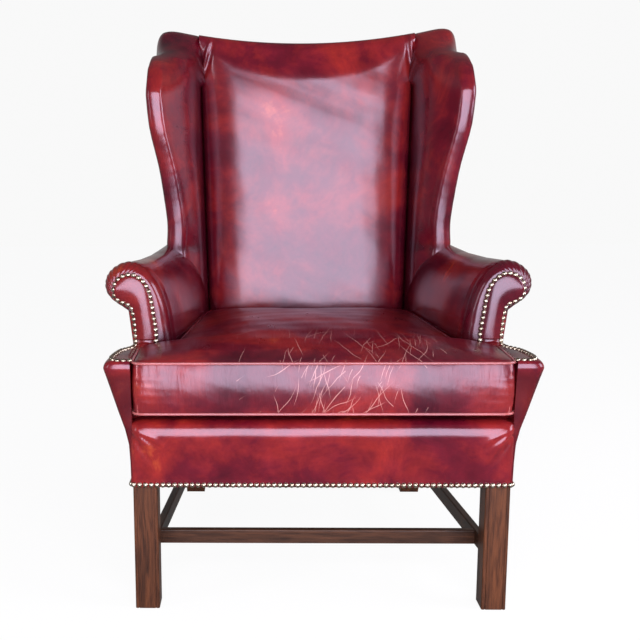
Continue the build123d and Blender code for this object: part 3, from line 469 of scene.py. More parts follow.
def leatherMaterial(name, rough=leatherLook["roughness"], welt=0.0, creased=False):
    # Antiqued leather: deep red clouds with orange-red patches where the finish is rubbed,
    # a fine grain in the bump and a clear glossy coat
    material, nodes, links, shader = newMaterial(name)
    place = objectPlace(nodes, links)
    broad = noiseNode(nodes, links, place, leatherLook["cloudScale"], 5, 0.6, 0.6)
    broken = noiseNode(nodes, links, place, leatherLook["breakScale"], 6, 0.7, 0.5)
    broad = maths(nodes, links, "MULTIPLY", broad, 1 - leatherLook["breakShare"])
    broken = maths(nodes, links, "MULTIPLY", broken, leatherLook["breakShare"])
    clouds = maths(nodes, links, "ADD", broad, broken)
    fine = noiseNode(nodes, links, place, leatherLook["mottleScale"], 4, 0.55, 0.2)
    base = ramp(nodes, links, clouds, [
        (0.35, leatherLook["deep"]),
        (0.48, leatherLook["body"]),
        (0.62, leatherLook["warm"]),
        (0.78, leatherLook["rubbed"]),
    ])
    mottled = ramp(nodes, links, fine, [(0.30, (0.62, 0.6, 0.62)), (0.70, (1.15, 1.1, 1.1))])
    colour = mixColour(nodes, links, 0.6, base, mottled, "MULTIPLY")
    # the attribute darkens the leather with painted shade in seams and under rolls
    hollow = nodes.new("ShaderNodeAttribute")
    hollow.attribute_name = "hollow"
    colour = mixColour(nodes, links, maths(nodes, links, "MULTIPLY", hollow.outputs["Fac"], 0.8),
                       colour, leatherLook["hollow"])
    if creased:
        # pale strokes on the creases, worn leather with a painted highlight
        colour = mixColour(nodes, links, creaseStrokes(nodes, links), colour, creaseLook["colour"])
    if welt:
        # pale along the front, partly rubbed wear and partly a painted highlight
        split = nodes.new("ShaderNodeSeparateXYZ")
        links.new(place, split.inputs[0])
        share = maths(nodes, links, "SUBTRACT", -0.22, split.outputs[1])
        share = maths(nodes, links, "MULTIPLY", share, 12 * welt, clamp=True)
        share = maths(nodes, links, "MINIMUM", share, welt)
        colour = mixColour(nodes, links, share, colour, leatherLook["weltRub"])
    links.new(colour, shader.inputs["Base Color"])
    grain = nodes.new("ShaderNodeTexVoronoi")
    grain.inputs["Scale"].default_value = leatherLook["grainScale"]
    links.new(place, grain.inputs["Vector"])
    soft = noiseNode(nodes, links, place, 34, 3, 0.5, 0.2)
    height = maths(nodes, links, "ADD", maths(nodes, links, "MULTIPLY", grain.outputs["Distance"],
                                              0.25), soft)
    relief = nodes.new("ShaderNodeBump")
    relief.inputs["Strength"].default_value = 0.10
    relief.inputs["Distance"].default_value = 0.0015
    links.new(height, relief.inputs["Height"])
    if creased:
        # fine folds, drawn out up the front and back over the top
        sheet, frontShare = creaseSheet(nodes, links)
        drawn = nodes.new("ShaderNodeMapping")
        drawn.inputs["Scale"].default_value = (1, 0.22, 1)
        drawn.inputs["Rotation"].default_value = (0, 0, math.radians(-9))
        links.new(sheet, drawn.inputs["Vector"])
        folds = noiseNode(nodes, links, drawn.outputs[0], 62, 3, 0.55, 0.3)
        folded = nodes.new("ShaderNodeBump")
        folded.inputs["Distance"].default_value = 0.004
        links.new(folds, folded.inputs["Height"])
        links.new(maths(nodes, links, "MULTIPLY_ADD", frontShare, 0.22, 0.10), folded.inputs["Strength"])
        links.new(folded.outputs[0], relief.inputs["Normal"])
    links.new(relief.outputs[0], shader.inputs["Normal"])
    shine = maths(nodes, links, "MULTIPLY_ADD", fine, 0.14, rough - 0.06)
    links.new(shine, shader.inputs["Roughness"])
    shader.inputs["Specular IOR Level"].default_value = leatherLook["gloss"]
    shader.inputs["Specular Tint"].default_value = leatherLook["glossTint"]
    return material


def woodMaterial(name, dark, light, along="Z", rough=0.42, gloss=0.22):
    # Straight grain: noise drawn out along the piece, with short dark pores
    material, nodes, links, shader = newMaterial(name)
    stretch = {"X": (1.4, 22, 22), "Y": (22, 1.4, 22), "Z": (22, 22, 1.4)}[along]
    place = objectPlace(nodes, links, stretch)
    bands = noiseNode(nodes, links, place, 2.2, 5, 0.6, 1.2)
    finer = objectPlace(nodes, links, tuple(8 * share for share in stretch))
    pores = noiseNode(nodes, links, finer, 2.0, 3)
    colour = ramp(nodes, links, bands, [(0.30, dark), (0.68, light)])
    specks = ramp(nodes, links, pores, [(0.40, (0.35, 0.3, 0.3)), (0.52, (1, 1, 1))])
    colour = mixColour(nodes, links, 0.6, colour, specks, "MULTIPLY")
    links.new(colour, shader.inputs["Base Color"])
    relief = nodes.new("ShaderNodeBump")
    relief.inputs["Strength"].default_value = 0.25
    relief.inputs["Distance"].default_value = 0.0006
    links.new(pores, relief.inputs["Height"])
    links.new(relief.outputs[0], shader.inputs["Normal"])
    shader.inputs["Roughness"].default_value = rough
    shader.inputs["Specular IOR Level"].default_value = gloss
    return material


def brassMaterial():
    # Aged brass: bright worn crowns over a brown tarnish
    material, nodes, links, shader = newMaterial("antiqueBrass")
    place = objectPlace(nodes, links)
    patch = noiseNode(nodes, links, place, 180, 3, 0.6)
    colour = ramp(nodes, links, patch, [(0.30, (0.15, 0.10, 0.065)), (0.62, (0.60, 0.53, 0.43))])
    links.new(colour, shader.inputs["Base Color"])
    shader.inputs["Metallic"].default_value = 1.0
    rough = maths(nodes, links, "MULTIPLY_ADD", patch, 0.25, 0.14)
    links.new(rough, shader.inputs["Roughness"])
    return material


def clothMaterial(name, dark, light):
    # Plain weave: two crossed fine waves
    material, nodes, links, shader = newMaterial(name)
    place = objectPlace(nodes, links)
    first = nodes.new("ShaderNodeTexWave")
    first.inputs["Scale"].default_value = 420
    second = nodes.new("ShaderNodeTexWave")
    second.bands_direction = "Y"
    second.inputs["Scale"].default_value = 420
    for node in (first, second):
        links.new(place, node.inputs["Vector"])
    weave = maths(nodes, links, "MULTIPLY", first.outputs["Fac"], second.outputs["Fac"])
    colour = ramp(nodes, links, weave, [(0.1, dark), (0.6, light)])
    links.new(colour, shader.inputs["Base Color"])
    relief = nodes.new("ShaderNodeBump")
    relief.inputs["Strength"].default_value = 0.3
    relief.inputs["Distance"].default_value = 0.0005
    links.new(weave, relief.inputs["Height"])
    links.new(relief.outputs[0], shader.inputs["Normal"])
    shader.inputs["Roughness"].default_value = 0.85
    return material


def springMaterial():
    # steel wire: a noise between a rusty and a bright colour
    material, nodes, links, shader = newMaterial("springWire")
    place = objectPlace(nodes, links)
    patch = noiseNode(nodes, links, place, 90, 3)
    colour = ramp(nodes, links, patch, [(0.35, (0.20, 0.15, 0.12)), (0.65, (0.42, 0.38, 0.35))])
    links.new(colour, shader.inputs["Base Color"])
    shader.inputs["Metallic"].default_value = 1.0
    shader.inputs["Roughness"].default_value = 0.4
    return material


leather = leatherMaterial("oxbloodLeather")
cushionLeather = leatherMaterial("cushionLeather", rough=0.29, creased=True)
# the welt, pale along its front with rubbed wear and a painted highlight
weltLeather = leatherMaterial("rubbedWelt", welt=0.34)
# dark and light of the grain
woodLook = {
    "legs": ((0.0195, 0.0055, 0.0020), (0.094, 0.0285, 0.0092)),
    "stretchers": ((0.012, 0.0045, 0.002), (0.058, 0.021, 0.009)),
    "frame": ((0.42, 0.28, 0.15), (0.62, 0.46, 0.28)),
}
mahoganyUp = woodMaterial("mahoganyUpright", *woodLook["legs"], "Z")
mahoganyAcross = woodMaterial("mahoganyAcross", *woodLook["stretchers"], "X")
mahoganyAlong = woodMaterial("mahoganyAlong", *woodLook["stretchers"], "Y")
beechUp = woodMaterial("beechUpright", *woodLook["frame"], "Z", 0.6, 0.3)
beechAcross = woodMaterial("beechAcross", *woodLook["frame"], "X", 0.6, 0.3)
brass = brassMaterial()
blackCloth = clothMaterial("bottomCloth", (0.006, 0.006, 0.006), (0.03, 0.03, 0.03))
juteCloth = clothMaterial("juteWebbing", (0.20, 0.14, 0.07), (0.45, 0.36, 0.22))
deckCloth = clothMaterial("deckingCloth", (0.05, 0.006, 0.008), (0.11, 0.014, 0.016))
springWire = springMaterial()
print("materials made")

nodeFinish = {
    "front_leg": mahoganyUp, "rear_leg": mahoganyUp, "side_stretcher": mahoganyAlong,
    "cross_stretcher": mahoganyAcross, "rear_stretcher": mahoganyAcross,
    "front_rail": beechAcross, "rear_rail": beechAcross, "side_rail": beechAcross,
    "corner_blocks": beechAcross, "back_post": beechUp, "lower_back_rail": beechAcross,
    "crest_rail": beechAcross, "arm_post": beechUp, "arm_rail": beechAcross,
    "wing_post": beechUp, "wing_rail": beechAcross, "seat_webbing": juteCloth,
    "seat_springs": springWire, "dust_cover": blackCloth, "seat_platform": deckCloth,
    "back_webbing": juteCloth,
}


def finishNodes():
    # each CAD node takes the material of its name without its side, or else leather
    for name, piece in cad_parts.items():
        base = name.replace("_left", "").replace("_right", "")
        piece.data.materials.clear()
        piece.data.materials.append(nodeFinish.get(base, leather))


finishNodes()

# The arm's outline at its widest, just behind the gathered front, from the seat up the inner
# face, over the roll and round to the neck below it: half widths and heights
armSize = {
    "frontDepth": 150.0,
    "bodyStart": 176.0,
    "length": 590.0,
    "radius": 47.0,
    "centreX": 372.0,
    "top": 650.0,
    "taper": 74.0,
    "rise": 13.0,
    "innerFront": 284.5,
    "innerBack": 231.0,
    "creaseDepth": 569.0,
    "back": 676.0,
    "deckLine": 383,
    "ringFront": 147,
    "pleats": 128,
    "pleatDepth": 1.5,
}
armFrontOutline = [
    (284, 400), (284.5, 440), (285, 479), (286.5, 503), (288.5, 514), (291.5, 538), (296, 560),
    (303, 584), (313, 608), (329, 630), (346, 643), (359, 648.5), (375, 649.5), (390, 645),
    (404, 636), (414, 624), (418.5, 610), (418, 596), (412, 583), (401, 572), (388, 564),
    (377, 559), (370, 553), (366, 541), (364, 520), (363, 496), (362.5, 484),
]
armShares = [
    (0.000, 1.00, 0.00, 0.00), (0.254, 0.96, 0.26, -0.40), (0.458, 0.89, 0.49, -0.30),
    (0.627, 0.80, 0.68, 0.25), (0.763, 0.73, 0.83, 0.77), (1.000, 0.66, 1.00, 1.00),
]
nailPath = [
    (318.5, 474), (318, 490), (318, 510), (320.5, 532), (323.5, 552), (326.5, 574), (330.5, 592),
    (335.5, 604), (342.5, 614), (351, 621), (360.5, 625.5), (370.5, 626), (380, 623.5),
    (389, 618), (395.5, 609.5), (398.5, 599), (398, 588), (393, 579), (384, 573), (373.5, 569),
    (365.5, 562.5), (362, 552), (360, 540), (358.8, 527), (358, 515), (357.5, 505), (357.5, 494),
    (357.5, 484),
]


def armSizes(depth):
    # The roll's radius, half width and height of its centre at a depth, each its front value
    # with a share of its change that is read from the table
    place = (np.asarray(depth, float) - armSize["frontDepth"]) / armSize["length"]
    table = np.array(armShares)
    radius, taper, rise = (np.interp(place, table[:, 0], table[:, k]) for k in (1, 2, 3))
    radius = armSize["radius"] * radius
    return radius, armSize["centreX"] - armSize["taper"] * taper, \
        armSize["top"] + armSize["rise"] * rise - radius


def armInner(depth):
    # half width of the inner face, straight from its front to the crease of the back
    share = (depth - armSize["frontDepth"]) / (armSize["creaseDepth"] - armSize["frontDepth"])
    change = armSize["innerBack"] - armSize["innerFront"]
    return armSize["innerFront"] + change * np.minimum(1, share)


def armGrid(columns=240, rows=70):
    # Rows run back along the arm. Each carries the front outline, scaled about the roll's
    # centre past its crown, and stretched between the inner face and the crown before it.
    front = smoothCurve(armFrontOutline, columns)
    crown = int(np.argmax(front[:, 1]))
    depth = np.linspace(armSize["bodyStart"], armSize["back"], rows)
    radius, centreX, centreZ = armSizes(depth)
    scale = (radius / armSize["radius"])[:, None]
    frontCentre = armSize["top"] - armSize["radius"]
    x = centreX[:, None] + (front[None, :, 0] - armSize["centreX"]) * scale
    z = centreZ[:, None] + (front[None, :, 1] - frontCentre) * scale
    inner = armInner(depth)[:, None]
    share = (front[None, :, 0] - front[0, 0]) / (front[crown, 0] - front[0, 0])
    rise = (front[None, :, 1] - front[0, 1]) / (front[crown, 1] - front[0, 1])
    innerX = inner + share * (x[:, crown:crown + 1] - inner)
    innerZ = front[0, 1] + rise * (z[:, crown:crown + 1] - front[0, 1])
    before = np.arange(columns)[None, :] < crown
    x, z = np.where(before, innerX, x), np.where(before, innerZ, z)
    # the lowest line drops to the deck, and the inner face ends within the back
    z[:, 0] = armSize["deckLine"]
    y = np.minimum(np.repeat(depth[:, None], columns, 1), postBack(z) - 2)
    # a little fullness in the middle of the inner face
    full = 5 * np.sin(math.pi * np.clip((z - 470) / 150, 0, 1)) * before
    full = full * ease((y - 180) / 120) * ease((600 - y) / 120)
    return np.stack([x - full, y, z], -1), front


def frontRing(front, columns=240, rows=16):
    # The gathered roll between the nails and the widest outline: a quarter round in depth,
    # with pleats that fade towards the outline
    nails = smoothCurve(nailPath, columns)
    # pair the two outlines at the same share of the way along each, held at four places
    marks = np.array([0.0, 0.42, 0.60, 0.80, 1.0])
    nailMarks = np.array([0.0, 0.43, 0.585, 0.77, 1.0])
    even = np.linspace(0, 1, columns)
    place = np.interp(even, marks, nailMarks)
    nails = np.stack([np.interp(place, even, nails[:, k]) for k in range(2)], 1)
    s = np.linspace(0, 1, rows)[:, None]
    turn = s * math.pi / 2
    out = np.sin(turn)
    x = nails[None, :, 0] + (front[None, :, 0] - nails[None, :, 0]) * out
    z = nails[None, :, 1] + (front[None, :, 1] - nails[None, :, 1]) * out
    across = np.stack([front[:, 0] - nails[:, 0], front[:, 1] - nails[:, 1]])
    wide = np.hypot(*across)
    y = armSize["ringFront"] + (armSize["bodyStart"] - armSize["ringFront"]) * (1 - np.cos(turn))
    along = even[None, :]
    wave = np.abs(np.sin(along * armSize["pleats"] + 0.9 * np.sin(along * 37)))
    pleats = (wave - 0.55) * armSize["pleatDepth"]
    pleats = pleats * ease(s * 5) * ease((along - 0.47) / 0.10) * ease((0.88 - along) / 0.08)
    # fullness forward, and pleats along the surface's own facing
    y = y - 3.5 * np.sin(math.pi * s) * np.minimum(wide, 26)[None, :] / 26 - pleats * np.cos(turn)
    x = x + pleats * out * (across[0] / wide)[None, :]
    z = z + pleats * out * (across[1] / wide)[None, :]
    z[:, 0] = armSize["deckLine"]
    return np.stack([x, y, z], -1), nails


def armEndGrid(rows=9, columns=48):
    # the roll's rear end: circles about its centre, from its rim in over a low dome
    radius, centreX, centreZ = (float(v) for v in armSizes(armSize["back"]))
    share = np.sin(np.linspace(math.pi / 2, 0.02, rows))[:, None]
    turn = np.linspace(0, 2 * math.pi, columns, endpoint=False)[None, :]
    y = armSize["back"] - 0.5 + 6 * np.sqrt(1 - np.clip(share, 0, 1) ** 2) + 0 * turn
    return np.stack([centreX + radius * share * np.cos(turn), y,
                     centreZ + radius * share * np.sin(turn)], -1)


def makeArms():
    # The ring's rows and the body's rows are one skin, with painted shade in its seams with the
    # back and the seat, under the roll's neck outside and over the front ring
    for piece in pairPieces("arm_end_leather", armEndGrid(), wrapCols=True):
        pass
    body, front = armGrid()
    ring, nails = frontRing(front)
    grid = np.vstack([ring, body[1:]])
    for piece in pairPieces("inside_arm_leather", grid, nodes=["inside_arm"]):
        x, y, z = chairPoints(piece).T
        setPaintedShade(piece, (bump(y, 575, 48) + bump(z, 492, 22)) * (np.abs(x) < 330)
                  + bump(z, 548, 16) * (np.abs(x) > 340) * 0.8 + 0.42 * ease((186 - y) / 14))
    return nails


armNails = makeArms()
print("arms made")

# facings and the nailed platforms of the brackets
facingSize = {"depth": 144.0, "fullness": 7.0, "lowFullness": 0.35}
platformInner = [
    (318.5, 147, 500), (319, 146, 492), (323, 141, 487), (331, 132, 485), (342, 120, 484.5),
    (349, 100, 484.5), (350.5, 70, 484.5), (351, 35, 484), (351.5, 5, 483.5), (352, -5, 483),
]
platformOuter = [
    (357.8, 147, 500), (358, 145, 491), (358.5, 140, 486.5), (361, 128, 485), (364.5, 115, 485),
    (372, 102, 485), (379, 88, 485), (384, 63, 485), (387.5, 35, 484.5), (388.5, 20, 484),
    (386, 4, 483.5), (378, -5, 483), (366, -7, 483), (352.5, -6, 483),
]


def facingGrid(rows=70, columns=22):
    # Ribbon between the inner and the outer line of nails, which meet at the roll's tip,
    # and which run forward below onto the bracket
    nails = smoothCurve(nailPath, 241)
    tip = int(np.argmax(nails[:, 0]))
    inner = nails[:tip + 1]
    outer = nails[tip:][::-1]
    even = np.linspace(0, 1, rows)
    inner, outer = (np.stack([np.interp(even, np.linspace(0, 1, len(line)), line[:, k])
                              for k in range(2)], 1) for line in (inner[12:], outer[8:]))
    depth = np.full(rows, facingSize["depth"])
    upperInner = np.stack([inner[:, 0], depth, inner[:, 1]], 1)
    upperOuter = np.stack([outer[:, 0], depth, outer[:, 1]], 1)
    lowerInner = smoothCurve(platformInner, 60)[::-1]
    lowerOuter = smoothCurve(platformOuter, 60)[::-1]
    inner = np.vstack([lowerInner, upperInner[1:]])
    outer = np.vstack([lowerOuter, upperOuter[1:]])
    v = np.linspace(0, 1, columns)[None, :, None]
    grid = inner[:, None, :] * (1 - v) + outer[:, None, :] * v
    # fullness stands out along the ribbon's own facing direction
    along = np.gradient((inner + outer) / 2, axis=0)
    across = outer - inner
    facing = np.cross(across, along)
    facing /= np.linalg.norm(facing, axis=1)[:, None] + 1e-9
    facing = np.where((facing[:, 2] - facing[:, 1])[:, None] < 0, -facing, facing)
    width = np.linalg.norm(across, axis=1)
    swell = facingSize["fullness"] * np.clip(width / 30, 0, 1)
    upper = np.arange(len(inner)) > 50
    swell = np.where(upper, swell, swell * facingSize["lowFullness"])
    lift = np.sin(math.pi * v) ** 0.7 * swell[:, None, None]
    return grid + facing[:, None, :] * lift


def makeFacings():
    # painted shade: darker all over, and more towards both rows of nails by the fourth power of the
    # way across
    grid = facingGrid()
    for piece in pairPieces("arm_facing_leather", grid, flip=True, nodes=["arm_facing"]):
        share = np.tile(np.linspace(-1, 1, grid.shape[1]), grid.shape[0])
        setPaintedShade(piece, 0.36 + 0.34 * share**4)


makeFacings()
print("facings made")

# brackets and outside panels: leather from the hem up to the arm's neck
sideSize = {
    "hem": 243.0,
    "shoulder": 485.0,
    "lean": (27.0, 5.0),
    "flare": 48.0,
    "roll": 15.0,
    "back": 664.0,
}
flareShares = [
    (0.00, 0.00, 2.0), (0.20, 0.02, 2.5), (0.34, 0.06, 3.0), (0.46, 0.20, 4.5),
    (0.60, 0.44, 7.0), (0.74, 0.66, 10.0), (0.86, 0.85, 13.0), (0.93, 0.96, 16.0),
    (0.97, 1.00, 17.0), (1.00, 1.00, 17.0),
]


def panelHalf(depth, height):
    # side line, plus the leather, plus a lean that grows from the seat rail up to the arm
    lean = np.interp(depth, [150, 618], sideSize["lean"])
    return sideLine(depth) + 3 + lean * np.clip((height - 331) / 225, 0, 1.2)


def bracketLine(height, count):
    # Plan line of the outer face at one height: round the front corner and along the flare,
    # which dies away at the arm post
    rise = (height - sideSize["hem"]) / (sideSize["shoulder"] - sideSize["hem"])
    table = np.array(flareShares)
    flare, forward = (np.interp(rise, table[:, 0], table[:, k]) for k in (1, 2))
    outer = 355 + sideSize["flare"] * flare
    neck = float(panelHalf(150, height))
    corner = 5 + 11 * flare
    near = 0.29 * corner
    points = [
        (351, -forward), (outer - corner, -forward), (outer - near, near - forward),
        (outer, corner - forward), (outer + (neck - outer) * 0.10, 40),
        (outer + (neck - outer) * 0.42, 85), (outer + (neck - outer) * 0.84, 125),
        (neck, 150), (float(panelHalf(168, height)), 168),
    ]
    return smoothCurve(points, count)


def bracketGrid(rows=60, columns=90):
    # plan lines stacked from the hem up to the roll
    low = np.linspace(sideSize["hem"], sideSize["shoulder"] - sideSize["roll"], rows)
    grid = np.zeros((rows, columns, 3))
    for row, height in enumerate(low):
        grid[row, :, :2] = bracketLine(height, columns)
        grid[row, :, 2] = height
    nails = smoothCurve(platformOuter[::-1], 200)
    even = np.linspace(0, 1, 200)
    share = np.interp(np.linspace(0, 1, columns), [0, 0.24, 0.93, 1], [0, 0.17, 0.97, 1.0])
    nails = np.stack([np.interp(share, even, nails[:, k]) for k in range(3)], 1)
    # the roll: a quarter round from the outer face over to the line of nails
    turn = np.linspace(0, math.pi / 2, 12)[1:, None]
    edge = grid[-1]
    inward = np.cos(turn) ** 0.8
    x = nails[None, :, 0] + (edge[None, :, 0] - nails[None, :, 0]) * inward
    y = nails[None, :, 1] + (edge[None, :, 1] - nails[None, :, 1]) * inward
    z = edge[None, :, 2] + (nails[None, :, 2] + 1.5 - edge[None, :, 2]) * np.sin(turn)
    return np.vstack([grid, np.stack([x, y, z], -1)])


def panelGrid(rows=40, columns=60):
    # Straight from the hem up to under the arm, plus half a sine of fullness each way
    depth = np.linspace(150, sideSize["back"], columns)
    radius, centreX, centreZ = armSizes(depth)
    top = centreZ - radius + 8
    share = np.linspace(0, 1, rows)[:, None]
    z = sideSize["hem"] + (top[None, :] - sideSize["hem"]) * share
    y = np.repeat(depth[None, :], rows, 0)
    y = y + np.clip((z - 331) * 0.075, 0, None) * ease((y - 560) / 100)
    x = panelHalf(depth[None, :], z)
    x = x + 2.5 * np.sin(math.pi * share) * np.sin(math.pi * np.clip((y - 150) / 500, 0, 1))
    grid = np.stack([x, y, z], -1)
    # the front edge turns in on a quarter round and meets the facing's nails
    turn = np.linspace(0, math.pi / 2, 7)[None, :-1]
    edge = grid[:, :1]
    inner = edge[..., 0] + (357.5 - edge[..., 0]) * (1 - np.sin(turn))
    front = edge[..., 1] - 2.5 + 10 * (1 - np.cos(turn))
    grid[:, :, 1] += 7.5 * (1 - ease((grid[:, :, 1] - 150) / 40))
    lead = np.stack([inner, front, np.repeat(edge[..., 2], 6, 1)], -1)
    # the rear edge turns in on a quarter round, under the outside back
    last = grid[:, -1:]
    turn = np.linspace(0, math.pi / 2, 6)[None, 1:]
    rear = np.stack([last[..., 0] - 18 * (1 - np.cos(turn)), last[..., 1] + 1.2 * np.sin(turn),
                     np.repeat(last[..., 2], 5, 1)], -1)
    return np.concatenate([lead, grid, rear], 1)


def bracketInner(rows=40, columns=24):
    # the bracket's face beside the cushion
    z = np.linspace(sideSize["hem"], sideSize["shoulder"] - 2, rows)
    rise = (z - sideSize["hem"]) / (sideSize["shoulder"] - sideSize["hem"])
    table = np.array(flareShares)
    forward = np.interp(rise, table[:, 0], table[:, 2])
    share = np.linspace(0, 1, columns)[None, :]
    y = -forward[:, None] + (150 + forward[:, None]) * share
    x = 351 - 0.6 * ease(share * 12) + 0 * y
    return np.stack([x, y, np.repeat(z[:, None], columns, 1)], -1)


def makeSides():
    # painted shade on the brackets, darkest in the scoop below the roll and forward of the arm post
    for piece in pairPieces("side_bracket_leather", bracketGrid(), flip=True,
                            nodes=["side_bracket"]):
        x, y, z = chairPoints(piece).T
        setPaintedShade(piece, 0.80 * ease((476 - z) / 26) * ease((z - 225) / 60) * ease((60 - y) / 60))
    for piece in pairPieces("side_panel_leather", panelGrid(), flip=True, nodes=["side_panel"]):
        stretchSheet(piece)
    for piece in pairPieces("bracket_inner_leather", bracketInner()):
        stretchSheet(piece)


makeSides()
print("brackets and side panels made")

# front border
borderSize = {"half": 353.0, "bulge": 17.0, "endRound": 26.0}
borderProfile = [
    (-3, 243), (-4, 252), (-6.5, 270), (-10, 292), (-14.5, 316), (-17.5, 332), (-18.8, 343),
    (-17.5, 353), (-13.5, 362), (-6, 369), (8, 372.5), (34, 372),
]


def borderGrid(columns=160, rows=60):
    # The profile runs up the front and over the roll. Towards the ends its depth falls away
    # on a quarter round, and the leather is drawn into a fold below each upper corner.
    profile = smoothCurve(borderProfile, rows)
    share = np.linspace(-1, 1, columns)
    x = borderSize["half"] * share
    away = np.clip((np.abs(x) - (borderSize["half"] - borderSize["endRound"]))
                   / borderSize["endRound"], 0, 1)
    stand = np.sqrt(np.clip(1 - away**2, 0, 1))
    stand = 0.18 + 0.82 * stand
    y = profile[:, 0][:, None]
    y = np.where(y < 0, y * stand[None, :], y)
    z = np.repeat(profile[:, 1][:, None], columns, 1)
    z = z - 7 * away[None, :] ** 2 * ease((z - 350) / 18)
    xx = np.repeat(x[None, :], rows, 0)
    # fold from each upper corner down and inwards
    fromEnd = borderSize["half"] - np.abs(xx)
    crease = bump(fromEnd - (352 - z) * 0.62, 0, 5.5) * ease((352 - z) / 12) * ease((z - 270) / 50)
    y = y + 4.2 * crease - 2.4 * bump(fromEnd - (352 - z) * 0.62, 13, 8) * ease((z - 280) / 50)
    second = fromEnd - (356 - z) * 1.35
    y = y + 2.6 * bump(second, 6, 6) * ease((356 - z) / 12) * ease((z - 312) / 30)
    y = y - 1.8 * bump(second, 18, 8) * ease((356 - z) / 12) * ease((z - 312) / 30)
    y = y + 0.8 * ripple(xx, y, z, 1.0, 170) * ease((z - 250) / 30)
    return np.stack([xx, y, z], -1)


def makeBorder():
    # one padded skin over the front rail
    piece = gridPiece("front_border_leather", borderGrid(), replaces=["front_border"])


makeBorder()
print("front border made")

# inside and outside back
backSize = {"halfLow": 232.0, "splay": 0.0319, "crown": 24.0, "edge": 26.0,
            "crestMiddle": 1118.0, "crestDip": 34.0, "crestShoulder": 315.0, "round": 21.0,
            "outerZ": [243, 331, 655, 1005, 1110, 1128],
            "outerX": [303, 303, 304, 351, 351, 336]}


def crease(z):
    # depth of the seam between back and wing, leaning back with height
    return 569.0 + 0.1037 * np.maximum(0, np.asarray(z, float) - 503)


def backHalf(z):
    # half width of the inside back, which splays with height
    return backSize["halfLow"] + backSize["splay"] * (np.asarray(z, float) - 503)


def crestLine(x):
    # height of the crest, a parabola with its lowest point in the middle
    return backSize["crestMiddle"] + backSize["crestDip"] * (x / backSize["crestShoulder"]) ** 2


def backPleats(x, z, fromSide):
    # Narrow folds that start in the upper corners and run down into the side seams. Each is a
    # ridge beside a groove, and dies away before its lower end.
    total = 0 * x
    for side, top, low, reach, height in ((1, 1142, 1052, 13, 5.0), (-1, 1140, 1035, 30, 4.5)):
        share = np.clip((z - low) / (top - low), 0, 1)
        offset = fromSide + 3 + reach * share
        own = np.where(x * side > 0, 1.0, 0.0) * ease(share * 3) * ease((1150 - z) / 20)
        total = total + own * height * (bump(offset, -6, 5) * 0.8 - bump(offset, 3, 4))
    return total


def backGrid(rows=150, columns=170):
    # Rows climb the front, go over the crest and a little down the rear. Across each row the
    # face is crowned, and close to the sides it turns back on a tight round into the creases.
    side = np.sin(np.linspace(-1, 1, columns) * math.pi / 2)
    side = np.sign(side) * (0.35 * np.abs(side) + 0.65 * np.abs(np.linspace(-1, 1, columns)))
    climb = np.linspace(0, 1, rows)[:, None]
    half = backHalf(1110)
    top = crestLine(side * half)[None, :]
    low = 392.0
    r = backSize["round"]
    faceLength, roundLength, rearLength = top - r - low, r * math.pi / 2, 60.0
    total = faceLength + 2 * roundLength + rearLength
    s = climb * total
    onFace = np.clip(s, 0, faceLength)
    angle = np.clip((s - faceLength) / r, 0, math.pi / 2)
    flat = np.clip(s - faceLength - roundLength, 0, 46)
    angle2 = np.clip((s - faceLength - roundLength - 46) / r, 0, math.pi / 2)
    z = low + onFace + r * np.sin(angle) - r * (1 - np.cos(angle2))
    face = crease(low + onFace)
    y = face + r * (1 - np.cos(angle)) + flat + r * np.sin(angle2)
    a = np.abs(side)[None, :]
    edge = backSize["edge"] * (1 - np.sqrt(np.clip(1 - a**9, 0, 1)))
    edge = edge * (0.12 + 0.88 * ease((top - z - 12) / 70))
    fullness = backSize["crown"] * (1 - a**4) * ease((z - 380) / 140)
    # fuller at mid height, and rounding over to the crest later towards the corners
    fullness = fullness * (0.80 + 0.32 * np.sin(math.pi * np.clip((z - 430) / 640, 0, 1)))
    fullness = fullness * ease((top - z) / (88 - 46 * a**2))
    x = side[None, :] * backHalf(z)
    front = ease(1 - angle / (math.pi / 2) * 0.8)
    y = y + (edge - fullness) * front
    y = y + (1.9 * ripple(x, y, z, 2.0, 260) + 0.30 * ripple(x, y, z, 5.0, 95)
             + 0.14 * ripple(x, y, z, 9.0, 38)
             + 1.6 * np.sin(z / 57 + 1.2) * ease((a - 0.35) / 0.4)) * front * (1 - a**4)
    y = y + backPleats(x, z, np.abs(x) - backHalf(z)) * front
    return np.stack([x + 0 * y, y, z], -1)


def makeBack():
    # painted shade towards the side seams and the seat
    piece = gridPiece("inside_back_leather", backGrid(), replaces=["inside_back"])
    x, y, z = chairPoints(piece).T
    setPaintedShade(piece, bump(backHalf(z) - np.abs(x), 0, 13) * ease((1130 - z) / 60)
              + 0.8 * bump(z, 495, 26) * ease((560 - z) / 60))
    # the outside back, a flat sheet with a slight fullness
    rows, columns = 70, 60
    share = np.linspace(-1, 1, columns)[None, :]
    climb = np.linspace(0, 1, rows)[:, None]
    top = crestLine(share * 336) - 14
    z = 243 + (top - 243) * climb
    x = share * np.interp(z, backSize["outerZ"], backSize["outerX"])
    y = postBack(z) + 3.5 + 3 * np.sin(math.pi * climb) * (1 - share**2)
    sheet = gridPiece("outside_back_leather", np.stack([x, y, z], -1), flip=True,
                      replaces=["outside_back"])
    stretchSheet(sheet)


makeBack()
print("back made")

# wings and the crest's ends
wingSize = {"low": 620.0, "top": 1097.0, "reach": 168.0, "half": 363.0, "roll": 47.0,
            "drop": 12.0, "climb": 30.0, "fullness": 9.0,
            "saddle": (316.0, 622.0, 1092.0), "saddleRadii": (35.0, 34.0, 27.0),
            # depth, height, width and passes of the further smoothing at the top
            "valley": (628, 1102, 36, 500),
            # metres, and passes over the whole
            "voxel": 0.004, "passes": 14}
